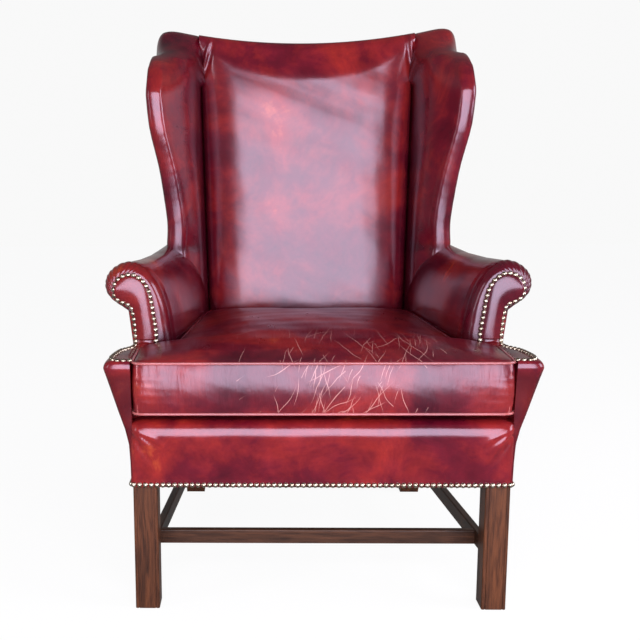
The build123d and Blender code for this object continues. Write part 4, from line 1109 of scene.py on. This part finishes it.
# each row: shares of the rise, of the drop to the front edge, of the reach, of the half width
# and of the roll
wingRows = [
    (-0.250, 0.00, 0.52, 0.880, 1.00), (-0.090, 0.00, 0.52, 0.884, 1.00),
    (0.040, 0.00, 0.52, 0.887, 1.00), (0.073, 0.00, 0.54, 0.895, 1.00),
    (0.182, 0.00, 0.58, 0.890, 1.00), (0.314, 0.00, 0.65, 0.909, 0.98),
    (0.449, 0.00, 0.75, 0.934, 0.92), (0.620, 0.00, 0.89, 0.981, 0.88),
    (0.744, 0.10, 0.94, 0.997, 0.86), (0.803, 0.60, 0.958, 1.000, 0.84),
    (0.860, 0.75, 0.914, 0.996, 0.82), (0.920, 0.85, 0.813, 0.993, 0.78),
    (0.964, 0.92, 0.648, 0.988, 0.72), (1.000, 1.00, 0.42, 0.978, 0.60),
]


def wingBackHalf(z):
    # half width of the outer face at the posts: it splays up to a limit
    return np.minimum(304 + 0.133 * np.maximum(0, z - 655), 353)


def wingLine(row, count):
    # Closed line round one row: behind the crease, along the inner face, round the front
    # roll, and back along the outer face. Its heights fall towards the front by the row's drop.
    rise, drop, reach, half, roll = row
    z = wingSize["low"] + (wingSize["top"] - wingSize["low"]) * rise
    back = float(crease(z))
    front = back - wingSize["reach"] * reach
    outer = wingSize["half"] * half
    r = wingSize["roll"] * roll / 2
    inner = outer - 2 * r
    inside = float(backHalf(z)) + 1
    rear = float(postBack(z)) - 2
    rearHalf = float(min(wingBackHalf(z), outer))
    middle = ((inside + inner) / 2 - wingSize["fullness"] * 0.9, (back + front + r) / 2)
    centre = (outer - r, front + r)
    # the roll's front is squared a little, so that it faces forward with a ridge inside
    # and most at the lobe
    power = 0.7 - 0.24 * float(bump(rise, 0.78, 0.22))
    ring = [(centre[0] + r * np.sign(math.cos(t)) * abs(math.cos(t)) ** power,
             centre[1] + r * np.sign(math.sin(t)) * abs(math.sin(t)) ** power)
            for t in np.radians([190, 222, 247, 270, 293, 318, 350])]
    points = [(inside + 8, rear), (inside, back + 30), (inside, back + 6),
              (inside + 3, back - 8), middle] + ring + [
              (outer - 2, front + 2.6 * r), ((outer + rearHalf) / 2 - 1, (front + rear) / 2 + 20),
              (rearHalf, rear - 30), (rearHalf - 1, rear)]
    line = smoothCurve(points, count, closed=True)
    slope = wingSize["drop"] * drop / (back - front)
    ahead = np.clip(back - line[:, 1], 0, None)
    height = z - slope * ahead
    # inside the roll the top rows climb back to the crest, so that the leather runs on
    climb = wingSize["climb"] * ease((rise - 0.72) / 0.28)
    height += climb * ease((outer - 4 - line[:, 0]) / 60) * ease(1 - ahead / (back - front))
    return np.stack([line[:, 0], line[:, 1], height], 1)


def wingGrid(rows=110, columns=150):
    # a smooth curve through the closed lines of the table's rows
    lines = [wingLine(row, columns) for row in wingRows]
    grid = rowsThrough(lines, rows)
    # closing rows draw in over the top on a round
    last = grid[-1]
    middle = last.mean(0)
    caps = []
    for share, lift in ((0.93, 2.5), (0.8, 4.5), (0.55, 6), (0.25, 6.5)):
        row = middle + (last - middle) * np.array([share, share, 1])
        row[:, 2] += lift
        caps.append(row)
    return np.vstack([grid, caps])


def crestEndGrid(rows=44, columns=72):
    # Rounded end of the crest: a rounded box whose top follows the crest's line and turns
    # down over the end on a quarter of a superellipse
    share = np.linspace(0, 1, rows)
    x = 236 + (357 - 236) * np.sin(share * math.pi / 2) ** 0.9
    away = np.clip((x - 327) / 30, 0, 1)
    over = np.clip(1 - away**2.4, 0, 1) ** (1 / 2.4)
    turn = np.linspace(0, 2 * math.pi, columns, endpoint=False)
    power = 2 / 4.6
    cos, sin = np.cos(turn), np.sin(turn)
    across = np.sign(cos) * np.abs(cos) ** power
    up = np.sign(sin) * np.abs(sin) ** power
    crest = crestLine(np.minimum(x, 312)) + 0.6
    top = 1102 + (crest - 1102) * over
    low = 1022.0
    z = low + (top - low)[:, None] * (0.5 + 0.5 * up[None, :])
    front = crease(z) - 3
    rear = postBack(z) + 1
    middle, half = (front + rear) / 2, (rear - front) / 2
    y = middle + half * across[None, :] * (0.62 + 0.38 * over[:, None])
    return np.stack([np.repeat(x[:, None], columns, 1), y, z], -1)


def saddleGrid(rows=20, columns=36):
    # filling between the wing's top and the crest's end: an ellipsoid, closed at its poles
    place, radii = np.array(wingSize["saddle"]), np.array(wingSize["saddleRadii"])
    turn = np.linspace(0.06, math.pi - 0.06, rows)[:, None]
    around = np.linspace(0, 2 * math.pi, columns, endpoint=False)[None, :]
    ball = np.stack([np.sin(turn) * np.cos(around), np.sin(turn) * np.sin(around),
                     np.cos(turn) + 0 * around], -1)
    return place + radii * ball


def softenValley(mesh, valley):
    # Smooths further about one line across the piece, with a bell-shaped weight beside it
    piece = linkNew("valleyRaw", mesh)
    points = meshPoints(mesh) * 1000
    depth, height, width, passes = valley
    depth -= chair["middleDepth"]
    weight = np.exp(-(((points[:, 1] - depth) ** 2 + (points[:, 2] - height) ** 2) / width**2))
    group = piece.vertex_groups.new(name="valley")
    for number in np.where(weight > 0.02)[0]:
        group.add([int(number)], float(min(1, 2.5 * weight[number])), "REPLACE")
    smooth = piece.modifiers.new("valley", "SMOOTH")
    smooth.vertex_group = "valley"
    smooth.factor = 0.6
    smooth.iterations = passes
    result = evaluated(piece)
    bpy.data.objects.remove(piece)
    return result


def joinSoft(name, grids, valley, **rest):
    # Closed shells are joined, remeshed as one skin and smoothed, so that they blend
    points, faces = [], []
    for grid in grids:
        shell, skin = closedShell(grid, sum(len(p) for p in points))
        points.append(shell)
        faces += skin
    mesh = bpy.data.meshes.new(name + "_raw")
    mesh.from_pydata(np.vstack(points), [], faces)
    raw = linkNew(name + "_raw", mesh)
    remesh = raw.modifiers.new("skin", "REMESH")
    remesh.mode = "VOXEL"
    remesh.voxel_size = wingSize["voxel"]
    remesh.use_smooth_shade = True
    smooth = raw.modifiers.new("smooth", "SMOOTH")
    smooth.factor = 0.5
    smooth.iterations = wingSize["passes"]
    result = evaluated(raw)
    bpy.data.objects.remove(raw)
    result = softenValley(result, valley)
    result.name = name
    return declare(linkNew(name, result), **rest)


def makeWings():
    # painted shade by a bell of the distance to the seam with the back, and a thin line of it along
    # the seam at the wing's base
    grids = [wingGrid(), crestEndGrid(), saddleGrid()]
    for side in ("right", "left"):
        own = grids if side == "right" else [mirrorGrid(grid) for grid in grids]
        piece = joinSoft(f"wing_leather_{side}", own, wingSize["valley"],
                         replaces=[f"wing_{side}", f"wing_panel_{side}"])
        x, y, z = chairPoints(piece).T
        near = np.hypot(np.abs(x) - backHalf(z), y - crease(z))
        setPaintedShade(piece, np.exp(-(near / 42) ** 2) * ease((1135 - z) / 60)
                  + 0.7 * bump(z, 648, 10) * (np.abs(x) < 330))


makeWings()
print("wings made")

# deck under the cushion, and the cloth under the seat
deckSize = {"front": 33.0, "seam": 122.0, "back": 617.0, "top": 383.4, "rim": 8.0, "foot": 342.0,
            "inset": 1.0, "clothInset": 3.0, "clothDepth": (3.0, 659.0), "clothHeight": 242.5,
            "footAcross": (314, 352), "footHeights": (368, 489)}


def deckGrid(front, back, foot, rows=50, columns=90):
    # A low pad over the trapezoid of the seat between two depths. Each share beyond 1 goes
    # down the side to the foot, and the last 3 % before it turns over on a round.
    across = np.linspace(-1.06, 1.06, columns)[None, :]
    along = np.linspace(-1.06, 1.06, rows)[:, None]
    inX, inY = np.clip(across, -1, 1), np.clip(along, -1, 1)
    y = (front + back) / 2 + (back - front) / 2 * inY
    x = (sideLine(y) - deckSize["inset"]) * inX
    nearX = np.clip((np.abs(inX) - 0.97) / 0.03, 0, 1)
    nearY = np.clip((np.abs(inY) - 0.95) / 0.05, 0, 1)
    near = np.clip(np.hypot(nearX, nearY), 0, 1)
    z = deckSize["top"] - deckSize["rim"] * (1 - np.sqrt(1 - near**2))
    z = z - 0.5 * (1 + ripple(x, y, z, 6.0, 150)) * (1 - near)
    outside = np.maximum((np.abs(across) > 1) * (np.abs(across) - 1),
                         (np.abs(along) > 1) * (np.abs(along) - 1)) / 0.06
    z = z + (foot - z) * outside
    return np.stack([x, y + 0 * x, z], -1)


def clothGrid(rows=40, columns=60):
    # black cloth from rail to rail, sagging a little between them
    low, high = deckSize["clothDepth"]
    along = np.linspace(-1, 1, rows)[:, None]
    across = np.linspace(-1, 1, columns)[None, :]
    y = (low + high) / 2 + (high - low) / 2 * along
    x = (sideLine(y) - deckSize["clothInset"]) * across
    z = deckSize["clothHeight"] - 2.5 * (1 - along**4) * (1 - across**4)
    return np.stack([x, y + 0 * x, z], -1)


def armFootGrid(rows=24, columns=16):
    # leather below the facing, behind the cushion's ear
    (left, right), (low, high) = deckSize["footAcross"], deckSize["footHeights"]
    x = np.linspace(left, right, columns)[None, :]
    z = np.linspace(low, high, rows)[:, None]
    y = 148.5 - 1.5 * (np.sin(math.pi * (x - left) / (right - left))
                       * np.sin(math.pi * (z - low) / (high - low)))
    return np.stack([x + 0 * z, y, z + 0 * x], -1)


def makeDeck():
    # cloth behind the seam, a leather lip before it, and the sheets below
    deck = gridPiece("seat_deck_cloth", deckGrid(deckSize["seam"] - 2, deckSize["back"],
                                                 deckSize["top"] - 10),
                     look=deckCloth, slot="platform_cloth", replaces=["seat_platform"])
    lip = gridPiece("seat_deck_lip_leather", deckGrid(deckSize["front"], deckSize["seam"] + 2,
                                                       deckSize["foot"], 30))
    cloth = gridPiece("dust_cloth", clothGrid(), flip=True, look=blackCloth, slot="dust_cloth",
                      replaces=["dust_cover"])
    stretchSheet(cloth)
    for piece in pairPieces("arm_foot_leather", armFootGrid()):
        stretchSheet(piece)


makeDeck()
print("deck and dust cloth made")

# loose cushion
cushionSize = {"half": 347.5, "front": -21.0, "ear": 138.0, "back": 556.0, "lowSeam": 387.6,
               "boxing": 94.0, "tilt": 1.7, "crown": 33.0, "welt": 2.6, "barrel": 9.0,
               "seam": 1.3, "fill": 0.75}
# the cloth simulation: metres, and Blender's own units for the forces
cushionCloth = {"voxel": 0.006, "pressure": 4, "stiffness": 20, "bending": 0.6, "frames": 16,
                "seamHold": 0.0075, "heldBelow": 0.3862, "furthest": 0.009}


def cushionOutline(count):
    # Closed T outline seen from above, with rounded corners, clockwise from the front middle
    s = cushionSize
    right = [(0, s["front"]), (150, s["front"]), (300, s["front"]), (335, s["front"] + 1.5),
             (345.5, s["front"] + 11), (s["half"], s["front"] + 30), (s["half"], 60),
             (s["half"], 112), (342, 131), (330, s["ear"]), (305, s["ear"] + 1), (283, 146),
             (276, 170), (262, 290), (247, 420), (234, 520), (222, 546), (196, s["back"]),
             (110, s["back"]), (0, s["back"])]
    left = [(-x, y) for x, y in right[-2:0:-1]]
    return smoothCurve(right + left, count, closed=True)


def cushionHeight(y, height):
    # height of the tilted cushion at one depth
    return height + (y - cushionSize["front"]) * math.tan(math.radians(cushionSize["tilt"]))


def cushionGrid(count=420):
    # Rings from the middle of the underside out to the lower seam, up the boxing to the upper
    # seam, and in over the crown
    line = cushionOutline(count)
    middle = np.array([0.0, 120.0])
    low = cushionSize["lowSeam"]
    high = low + cushionSize["boxing"]
    rings = []
    tangent = np.roll(line, -1, 0) - np.roll(line, 1, 0)
    normal = np.column_stack([tangent[:, 1], -tangent[:, 0]])
    normal /= np.linalg.norm(normal, axis=1)[:, None]
    bulge = 1.2 + (cushionSize["barrel"] - 1.2) * np.clip(-normal[:, 1], 0, 1) ** 2 \
        * ease((60 - line[:, 1]) / 40)

    def ring(share, height, tilt, crown=0.0, out=0.0):
        flat = middle + (line - middle) * share + normal * (bulge * out)[:, None]
        z = np.full(count, float(height))
        if tilt:
            rise = cushionHeight(flat[:, 1], 0)
            z = z + rise * tilt
        z = z + crown
        rings.append(np.column_stack([flat, z]))

    for share in np.linspace(0.02, 0.975, 30):
        ring(share, low - 2.8, 0)
    ring(0.992, low - 2.0, 0)
    ring(1.0, low, 0)
    for t in np.linspace(0, 1, 15)[1:-1]:
        ring(1.0, low + (high - low) * t, t, out=math.sin(math.pi * t) ** 0.8)
    ring(1.0, high, 1)
    ring(0.992, high + 2.5, 1)
    for share in np.linspace(0.975, 0.02, 40):
        flat = middle + (line - middle) * share
        full = cushionSize["crown"] * (1 - share**2.6)
        ring(share, high + 3.2, 1, full * (0.55 + 0.45 * ease((flat[:, 1] + 20) / 260)))
    return np.array(rings)


def seamLine(height, tilt, count=420, out=0.6):
    # the outline moved out along its own normals, level or tilted
    line = cushionOutline(count)
    tangent = np.roll(line, -1, 0) - np.roll(line, 1, 0)
    normal = np.column_stack([tangent[:, 1], -tangent[:, 0]])
    normal /= np.linalg.norm(normal, axis=1)[:, None]
    line = line + normal * out
    z = height + (cushionHeight(line[:, 1], 0) if tilt else 0)
    return np.column_stack([line, np.full(count, 0.0) + z])


def tubeGrid(line, radius, sides=10, closed=True):
    # Round tube along a line in space, kept upright
    ahead = np.roll(line, -1, 0) - np.roll(line, 1, 0) if closed else np.gradient(line, axis=0)
    ahead /= np.linalg.norm(ahead, axis=1)[:, None]
    upright = np.abs(ahead[:, 2:3]) > 0.8
    side = np.cross(ahead, np.where(upright, [[0, 1.0, 0]], [[0, 0, 1.0]]))
    side /= np.linalg.norm(side, axis=1)[:, None] + 1e-9
    up = np.cross(side, ahead)
    turn = np.linspace(0, 2 * math.pi, sides, endpoint=False)
    ring = np.cos(turn)[None, :, None] * side[:, None] + np.sin(turn)[None, :, None] * up[:, None]
    return line[:, None, :] + radius * ring


def simulateCushion(mesh):
    # The shell is remeshed evenly, held at its seams and blown up under a little pressure
    raw = linkNew("cushionRaw", mesh)
    remesh = raw.modifiers.new("skin", "REMESH")
    remesh.mode = "VOXEL"
    remesh.voxel_size = cushionCloth["voxel"]
    even = evaluated(raw)
    bpy.data.objects.remove(raw)
    soft = linkNew("cushionSoft", even)
    start = meshPoints(even)
    hold = soft.vertex_groups.new(name="hold")
    seams = np.vstack([seamLine(cushionSize["lowSeam"], False, 840),
                       seamLine(cushionSize["lowSeam"] + cushionSize["boxing"], True, 840)])
    tree = kdtree.KDTree(len(seams))
    for number, point in enumerate(toRow(seams)):
        tree.insert(point, number)
    tree.balance()
    near = np.array([tree.find(p)[2] for p in start])
    under = start[:, 2] < cushionCloth["heldBelow"]
    held = np.where((near < cushionCloth["seamHold"]) | under)[0]
    hold.add([int(i) for i in held], 1.0, "REPLACE")
    cloth = soft.modifiers.new("cloth", "CLOTH")
    cloth.settings.use_pressure = True
    cloth.settings.uniform_pressure_force = cushionCloth["pressure"]
    cloth.settings.vertex_group_mass = "hold"
    cloth.settings.tension_stiffness = cushionCloth["stiffness"]
    cloth.settings.compression_stiffness = cushionCloth["stiffness"]
    cloth.settings.bending_stiffness = cushionCloth["bending"]
    cloth.settings.effector_weights.gravity = 0
    cloth.collision_settings.use_self_collision = False
    scene = bpy.context.scene
    for number in range(1, cushionCloth["frames"] + 1):
        scene.frame_set(number)
    blown = evaluated(soft)
    scene.frame_set(1)
    move = meshPoints(blown) - start
    far = np.linalg.norm(move, axis=1)
    furthest = cushionCloth["furthest"]
    move *= np.where(far > furthest, furthest / np.maximum(far, 1e-9), 1)[:, None]
    even.vertices.foreach_set("co", (start + move).ravel())
    bpy.data.objects.remove(soft)
    return even


def wrinkle(mesh):
    # Uneven fullness along the surface's own normals, and short folds that run in from the
    # front corners' seams
    points, normals = meshPoints(mesh), np.zeros(len(mesh.vertices) * 3)
    mesh.vertex_normals.foreach_get("vector", normals)
    normals = normals.reshape(-1, 3)
    x, y, z = points[:, 0] * 1000, points[:, 1] * 1000 + chair["middleDepth"], points[:, 2] * 1000
    swell = 1.5 * ripple(x, y, z, 3.0, 210) + 0.8 * ripple(x, y, z, 7.0, 88)
    swell += 0.35 * ripple(x, y, z, 4.0, 41) * ease((140 - y) / 120)
    corner = np.exp(-(cushionSize["half"] - np.abs(x)) / 34) * ease((12 - y) / 20)
    swell += 1.2 * corner * np.sin(z * 2 * math.pi / 15 + 0.02 * x)
    low = cushionSize["lowSeam"]
    seams = (low, cushionHeight(y, low + cushionSize["boxing"]))
    calm = np.minimum(np.abs(z - seams[0]), np.abs(z - seams[1])) / 16
    swell *= np.where(normals[:, 2] < -0.6, 0, ease(calm)) * np.where(np.abs(x) > 346.5, 0.2, 1)
    mesh.vertices.foreach_set("co", (points + normals * swell[:, None] / 1000).ravel())


def cornerSeam(count=40):
    # upright seam on a front corner, over the bulge of the boxing
    share = np.linspace(0, 1, count)
    z = cushionSize["lowSeam"] + cushionSize["boxing"] * share
    out = (cushionSize["barrel"] - 2) * np.sin(math.pi * share) ** 0.8
    return np.column_stack([np.full(count, 337.5), cushionSize["front"] + 3.5 - out, z])


def makeCushion():
    # The rings as one closed shell, settled by the simulation, with a welt on each seam
    mesh = bpy.data.meshes.new("cushionShell")
    points, faces = closedShell(cushionGrid())
    mesh.from_pydata(points, [], faces)
    mesh = simulateCushion(mesh)
    wrinkle(mesh)
    mesh.name = "seat_cushion_leather"
    piece = linkNew("seat_cushion_leather", mesh)
    finer = piece.modifiers.new("finer", "SUBSURF")
    finer.levels = finer.render_levels = 1
    declare(piece, cushionLeather, "cushion", "leather", ["seat_cushion"])
    sewn = {"look": weltLeather, "body": "cushion", "slot": "leather_welt"}
    low = cushionSize["lowSeam"]
    for name, height, tilt, nodes in (("lower_welt", low, False, ["cushion_piping"]),
                                      ("upper_welt", low + cushionSize["boxing"], True, [])):
        gridPiece(name, tubeGrid(seamLine(height, tilt), cushionSize["welt"]), wrapRows=True,
                  wrapCols=True, replaces=nodes, **sewn)
    # one grid and its mirror image, which isn't turned over and so faces the other way
    seam = tubeGrid(cornerSeam(), cushionSize["seam"], 8, False)
    for side, grid in (("right", seam), ("left", mirrorGrid(seam))):
        gridPiece(f"corner_seam_{side}", grid, wrapCols=True, **sewn)


makeCushion()
print("cushion made")

# brass nails
nailSize = {"radius": 5.3, "height": 4.4, "pitch": 11.0}


def nailRow(name, path, facing):
    # Domes head to head along a path; each is turned to the facing direction beside it
    length = np.concatenate([[0], np.cumsum(np.linalg.norm(np.diff(path, axis=0), axis=1))])
    count = max(2, int(round(length[-1] / nailSize["pitch"])) + 1)
    steps = np.linspace(0, length[-1], count)
    place = np.stack([np.interp(steps, length, path[:, k]) for k in range(3)], 1)
    out = np.stack([np.interp(steps, length, facing[:, k]) for k in range(3)], 1)
    out /= np.linalg.norm(out, axis=1)[:, None]
    first = np.cross(out, np.where(np.abs(out[:, 2:3]) > 0.8, [[1.0, 0, 0]], [[0, 0, 1.0]]))
    first /= np.linalg.norm(first, axis=1)[:, None]
    second = np.cross(out, first)
    lift = np.array([0.0, 0.30, 0.72, 0.96])
    wide = np.array([1.0, 0.96, 0.68, 0.28])
    sides = 9
    turn = np.linspace(0, 2 * math.pi, sides, endpoint=False)
    ring = (np.cos(turn)[None, :, None] * first[:, None] + np.sin(turn)[None, :, None]
            * second[:, None])
    rings = place[:, None, None] + nailSize["radius"] * wide[None, :, None, None] * ring[:, None]
    rings = rings + nailSize["height"] * lift[None, :, None, None] * out[:, None, None]
    crown = place + nailSize["height"] * out
    base = place - 1.0 * out
    single = len(lift) * sides
    points = np.concatenate([rings.reshape(count, single, 3), crown[:, None], base[:, None]], 1)
    skin = gridFaces(len(lift), sides, False, True)
    c = np.arange(sides)
    topRing = single - sides
    cap = np.stack([topRing + c, topRing + (c + 1) % sides, np.full(sides, single)], 1)
    foot = np.stack([(c + 1) % sides, c, np.full(sides, single + 1)], 1)
    step = np.arange(count)[:, None, None] * (single + 2)
    faces = []
    for part in (skin, cap, foot):
        faces += (part[None] + step).reshape(-1, part.shape[1]).tolist()
    makeMesh(name, toRow(points).reshape(-1, 3), faces, look=brass, slot="spring_steel")


def makeNails():
    # front hem: the border's own depth at its ends, a quarter round
    x = np.linspace(-350, 350, 200)
    flat = np.full(200, -1.0)
    stand = 0.18 + 0.82 * np.sqrt(np.clip(1 - np.clip((np.abs(x) - 327) / 26, 0, 1) ** 2, 0, 1))
    path = np.column_stack([x, -3.6 * stand - 0.6, np.full(200, 247.5)])
    nailRow("border_nails", path, np.column_stack([0 * x, flat, 0 * x]))
    # round the outside back, just inside its edge
    edgeX, edgeZ = backSize["outerX"], backSize["outerZ"]
    climb = np.linspace(247.5, edgeZ[-2], 200)
    over = np.linspace(edgeX[-2] - 8, -edgeX[-2] + 8, 120)
    across = np.linspace(-297, 297, 120)
    outline = np.vstack([
        np.column_stack([np.interp(climb, edgeZ, edgeX) - 6, climb]),
        np.column_stack([over, crestLine(over) - 20]),
        np.column_stack([-np.interp(climb, edgeZ, edgeX) + 6, climb])[::-1],
    ])
    for name, line in (("outside_back_nails", outline),
                       ("rear_hem_nails", np.column_stack([across, 247.5 + 0 * across]))):
        line = np.column_stack([line[:, 0], postBack(line[:, 1]) + 4.0, line[:, 1]])
        nailRow(name, line, np.tile([0, 1.0, 0], (len(line), 1)))
    loop = smoothCurve(nailPath, 240)
    arm = np.column_stack([loop[:, 0], np.full(240, 145.0), loop[:, 1]])
    platform = smoothCurve(platformOuter[2:], 200)
    for side, sign in (("right", 1), ("left", -1)):
        turn = np.array([sign, 1, 1])
        nailRow(f"arm_nails_{side}", arm * turn, np.tile([0, -1.0, 0], (240, 1)))
        nailRow(f"platform_nails_{side}", (platform + [0, 0, 1.5]) * turn,
                np.tile([0, -0.12, 1.0], (200, 1)))
        y = np.linspace(4, 655, 120)
        hem = np.column_stack([panelHalf(y, 247) + 0.6, y, np.full(120, 247.5)])
        nailRow(f"side_nails_{side}", hem * turn, np.tile([sign, 0.0, 0], (120, 1)))


makeNails()
print("nails made")

# floor, backdrop and light
studio = {
    "floorWhite": 0.93,
    "backdrop": 0.945,
    "glossFloor": 0.28,
    # in gloss, at the horizon and overhead
    "glossSky": (0.48, 0.20),
    "skyColour": (0.86, 0.87, 1.0),
    "skyStrength": 0.29,
    # name, place, aim, width and height, watts, colour
    "lamps": [
        ("frontPanel", (0.26, -3.2, 1.25), (0.26, 0, 1.1), (2.75, 2.36), 232, (0.94, 0.90, 1.0)),
        ("leftStrip", (-2.6, -1.7, 1.5), (0, 0, 0.8), (0.4, 1.7), 20, (1.0, 0.97, 0.97)),
        ("rightPanel", (2.9, -0.9, 1.6), (0, 0, 0.9), (1.8, 1.6), 88, (0.93, 0.90, 1.0)),
    ],
}


def areaLight(name, place, target, size, power, colour):
    # a lamp whose own axes are its line to the target, the level across it and their product
    data = bpy.data.lights.new(name, "AREA")
    data.shape = "RECTANGLE"
    data.size, data.size_y = size
    data.energy = power
    data.color = colour
    light = bpy.data.objects.new(name, data)
    eye, aim = np.array(place, float), np.array(target, float)
    ahead = (aim - eye) / np.linalg.norm(aim - eye)
    right = np.cross(ahead, (0, 0, 1))
    right /= np.linalg.norm(right)
    turn = Matrix([list(right), list(np.cross(right, ahead)), list(-ahead)]).transposed()
    light.matrix_world = Matrix.Translation(place) @ turn.to_4x4()
    bpy.context.scene.collection.objects.link(light)


def plainRays(nodes, links, gloss):
    # how bright the background is drawn for straight rays and through glass, 1, and in gloss
    path = nodes.new("ShaderNodeLightPath")
    straight = maths(nodes, links, "MAXIMUM", path.outputs["Is Camera Ray"],
                     path.outputs["Is Transmission Ray"])
    shiny = maths(nodes, links, "MULTIPLY", path.outputs["Is Glossy Ray"], gloss)
    return straight, path.outputs["Is Glossy Ray"], maths(nodes, links, "MAXIMUM", straight, shiny)


def makeStudio():
    # floor and sky are near white for straight rays, and darker in gloss
    size = 9.0
    corners = [(-size, -size, 0), (size, -size, 0), (size, size, 0), (-size, size, 0)]
    mesh = bpy.data.meshes.new("studioFloor")
    mesh.from_pydata(corners, [], [(0, 1, 2, 3)])
    floor = linkNew("studioFloor", mesh)
    material, nodes, links, shader = newMaterial("paleFloor")
    shader.inputs["Base Color"].default_value = (0.90, 0.90, 0.90, 1)
    shader.inputs["Roughness"].default_value = 0.9
    shader.inputs["Specular IOR Level"].default_value = 0.1
    # to the camera and in gloss the floor shows white, except for a soft contact shadow
    shine = nodes.new("ShaderNodeEmission")
    shine.inputs["Color"].default_value = (1, 1, 1, 1)
    straight, glossy, level = plainRays(nodes, links, studio["glossFloor"])
    links.new(level, shine.inputs["Strength"])
    share = maths(nodes, links, "MULTIPLY", straight, studio["floorWhite"])
    share = maths(nodes, links, "MAXIMUM", share, glossy)
    mix = nodes.new("ShaderNodeMixShader")
    links.new(share, mix.inputs[0])
    links.new(shader.outputs[0], mix.inputs[1])
    links.new(shine.outputs[0], mix.inputs[2])
    links.new(mix.outputs[0], nodes["Material Output"].inputs[0])
    mesh.materials.append(material)
    world = bpy.data.worlds.new("studioSky")
    world.use_nodes = True
    bpy.context.scene.world = world
    nodes, links = world.node_tree.nodes, world.node_tree.links
    nodes.clear()
    out = nodes.new("ShaderNodeOutputWorld")
    plain = nodes.new("ShaderNodeBackground")
    plain.inputs["Color"].default_value = (1, 1, 1, 1)
    up = nodes.new("ShaderNodeSeparateXYZ")
    links.new(nodes.new("ShaderNodeTexCoord").outputs["Generated"], up.inputs[0])
    side, overhead = studio["glossSky"]
    high = maths(nodes, links, "MULTIPLY_ADD", up.outputs[2], 2.4, -0.35, clamp=True)
    sky = maths(nodes, links, "MULTIPLY_ADD", high, overhead - side, side)
    straight, glossy, level = plainRays(nodes, links, sky)
    links.new(maths(nodes, links, "MULTIPLY", level, studio["backdrop"]), plain.inputs["Strength"])
    soft = nodes.new("ShaderNodeBackground")
    soft.inputs["Color"].default_value = (*studio["skyColour"], 1)
    soft.inputs["Strength"].default_value = studio["skyStrength"]
    mix = nodes.new("ShaderNodeMixShader")
    links.new(maths(nodes, links, "MAXIMUM", straight, glossy), mix.inputs[0])
    links.new(soft.outputs[0], mix.inputs[1])
    links.new(plain.outputs[0], mix.inputs[2])
    links.new(mix.outputs[0], out.inputs[0])
    for name, place, aim, size, power, colour in studio["lamps"]:
        areaLight(name, place, aim, size, power, colour)
    bpy.context.scene.view_settings.view_transform = "Standard"


makeStudio()
print("studio made")
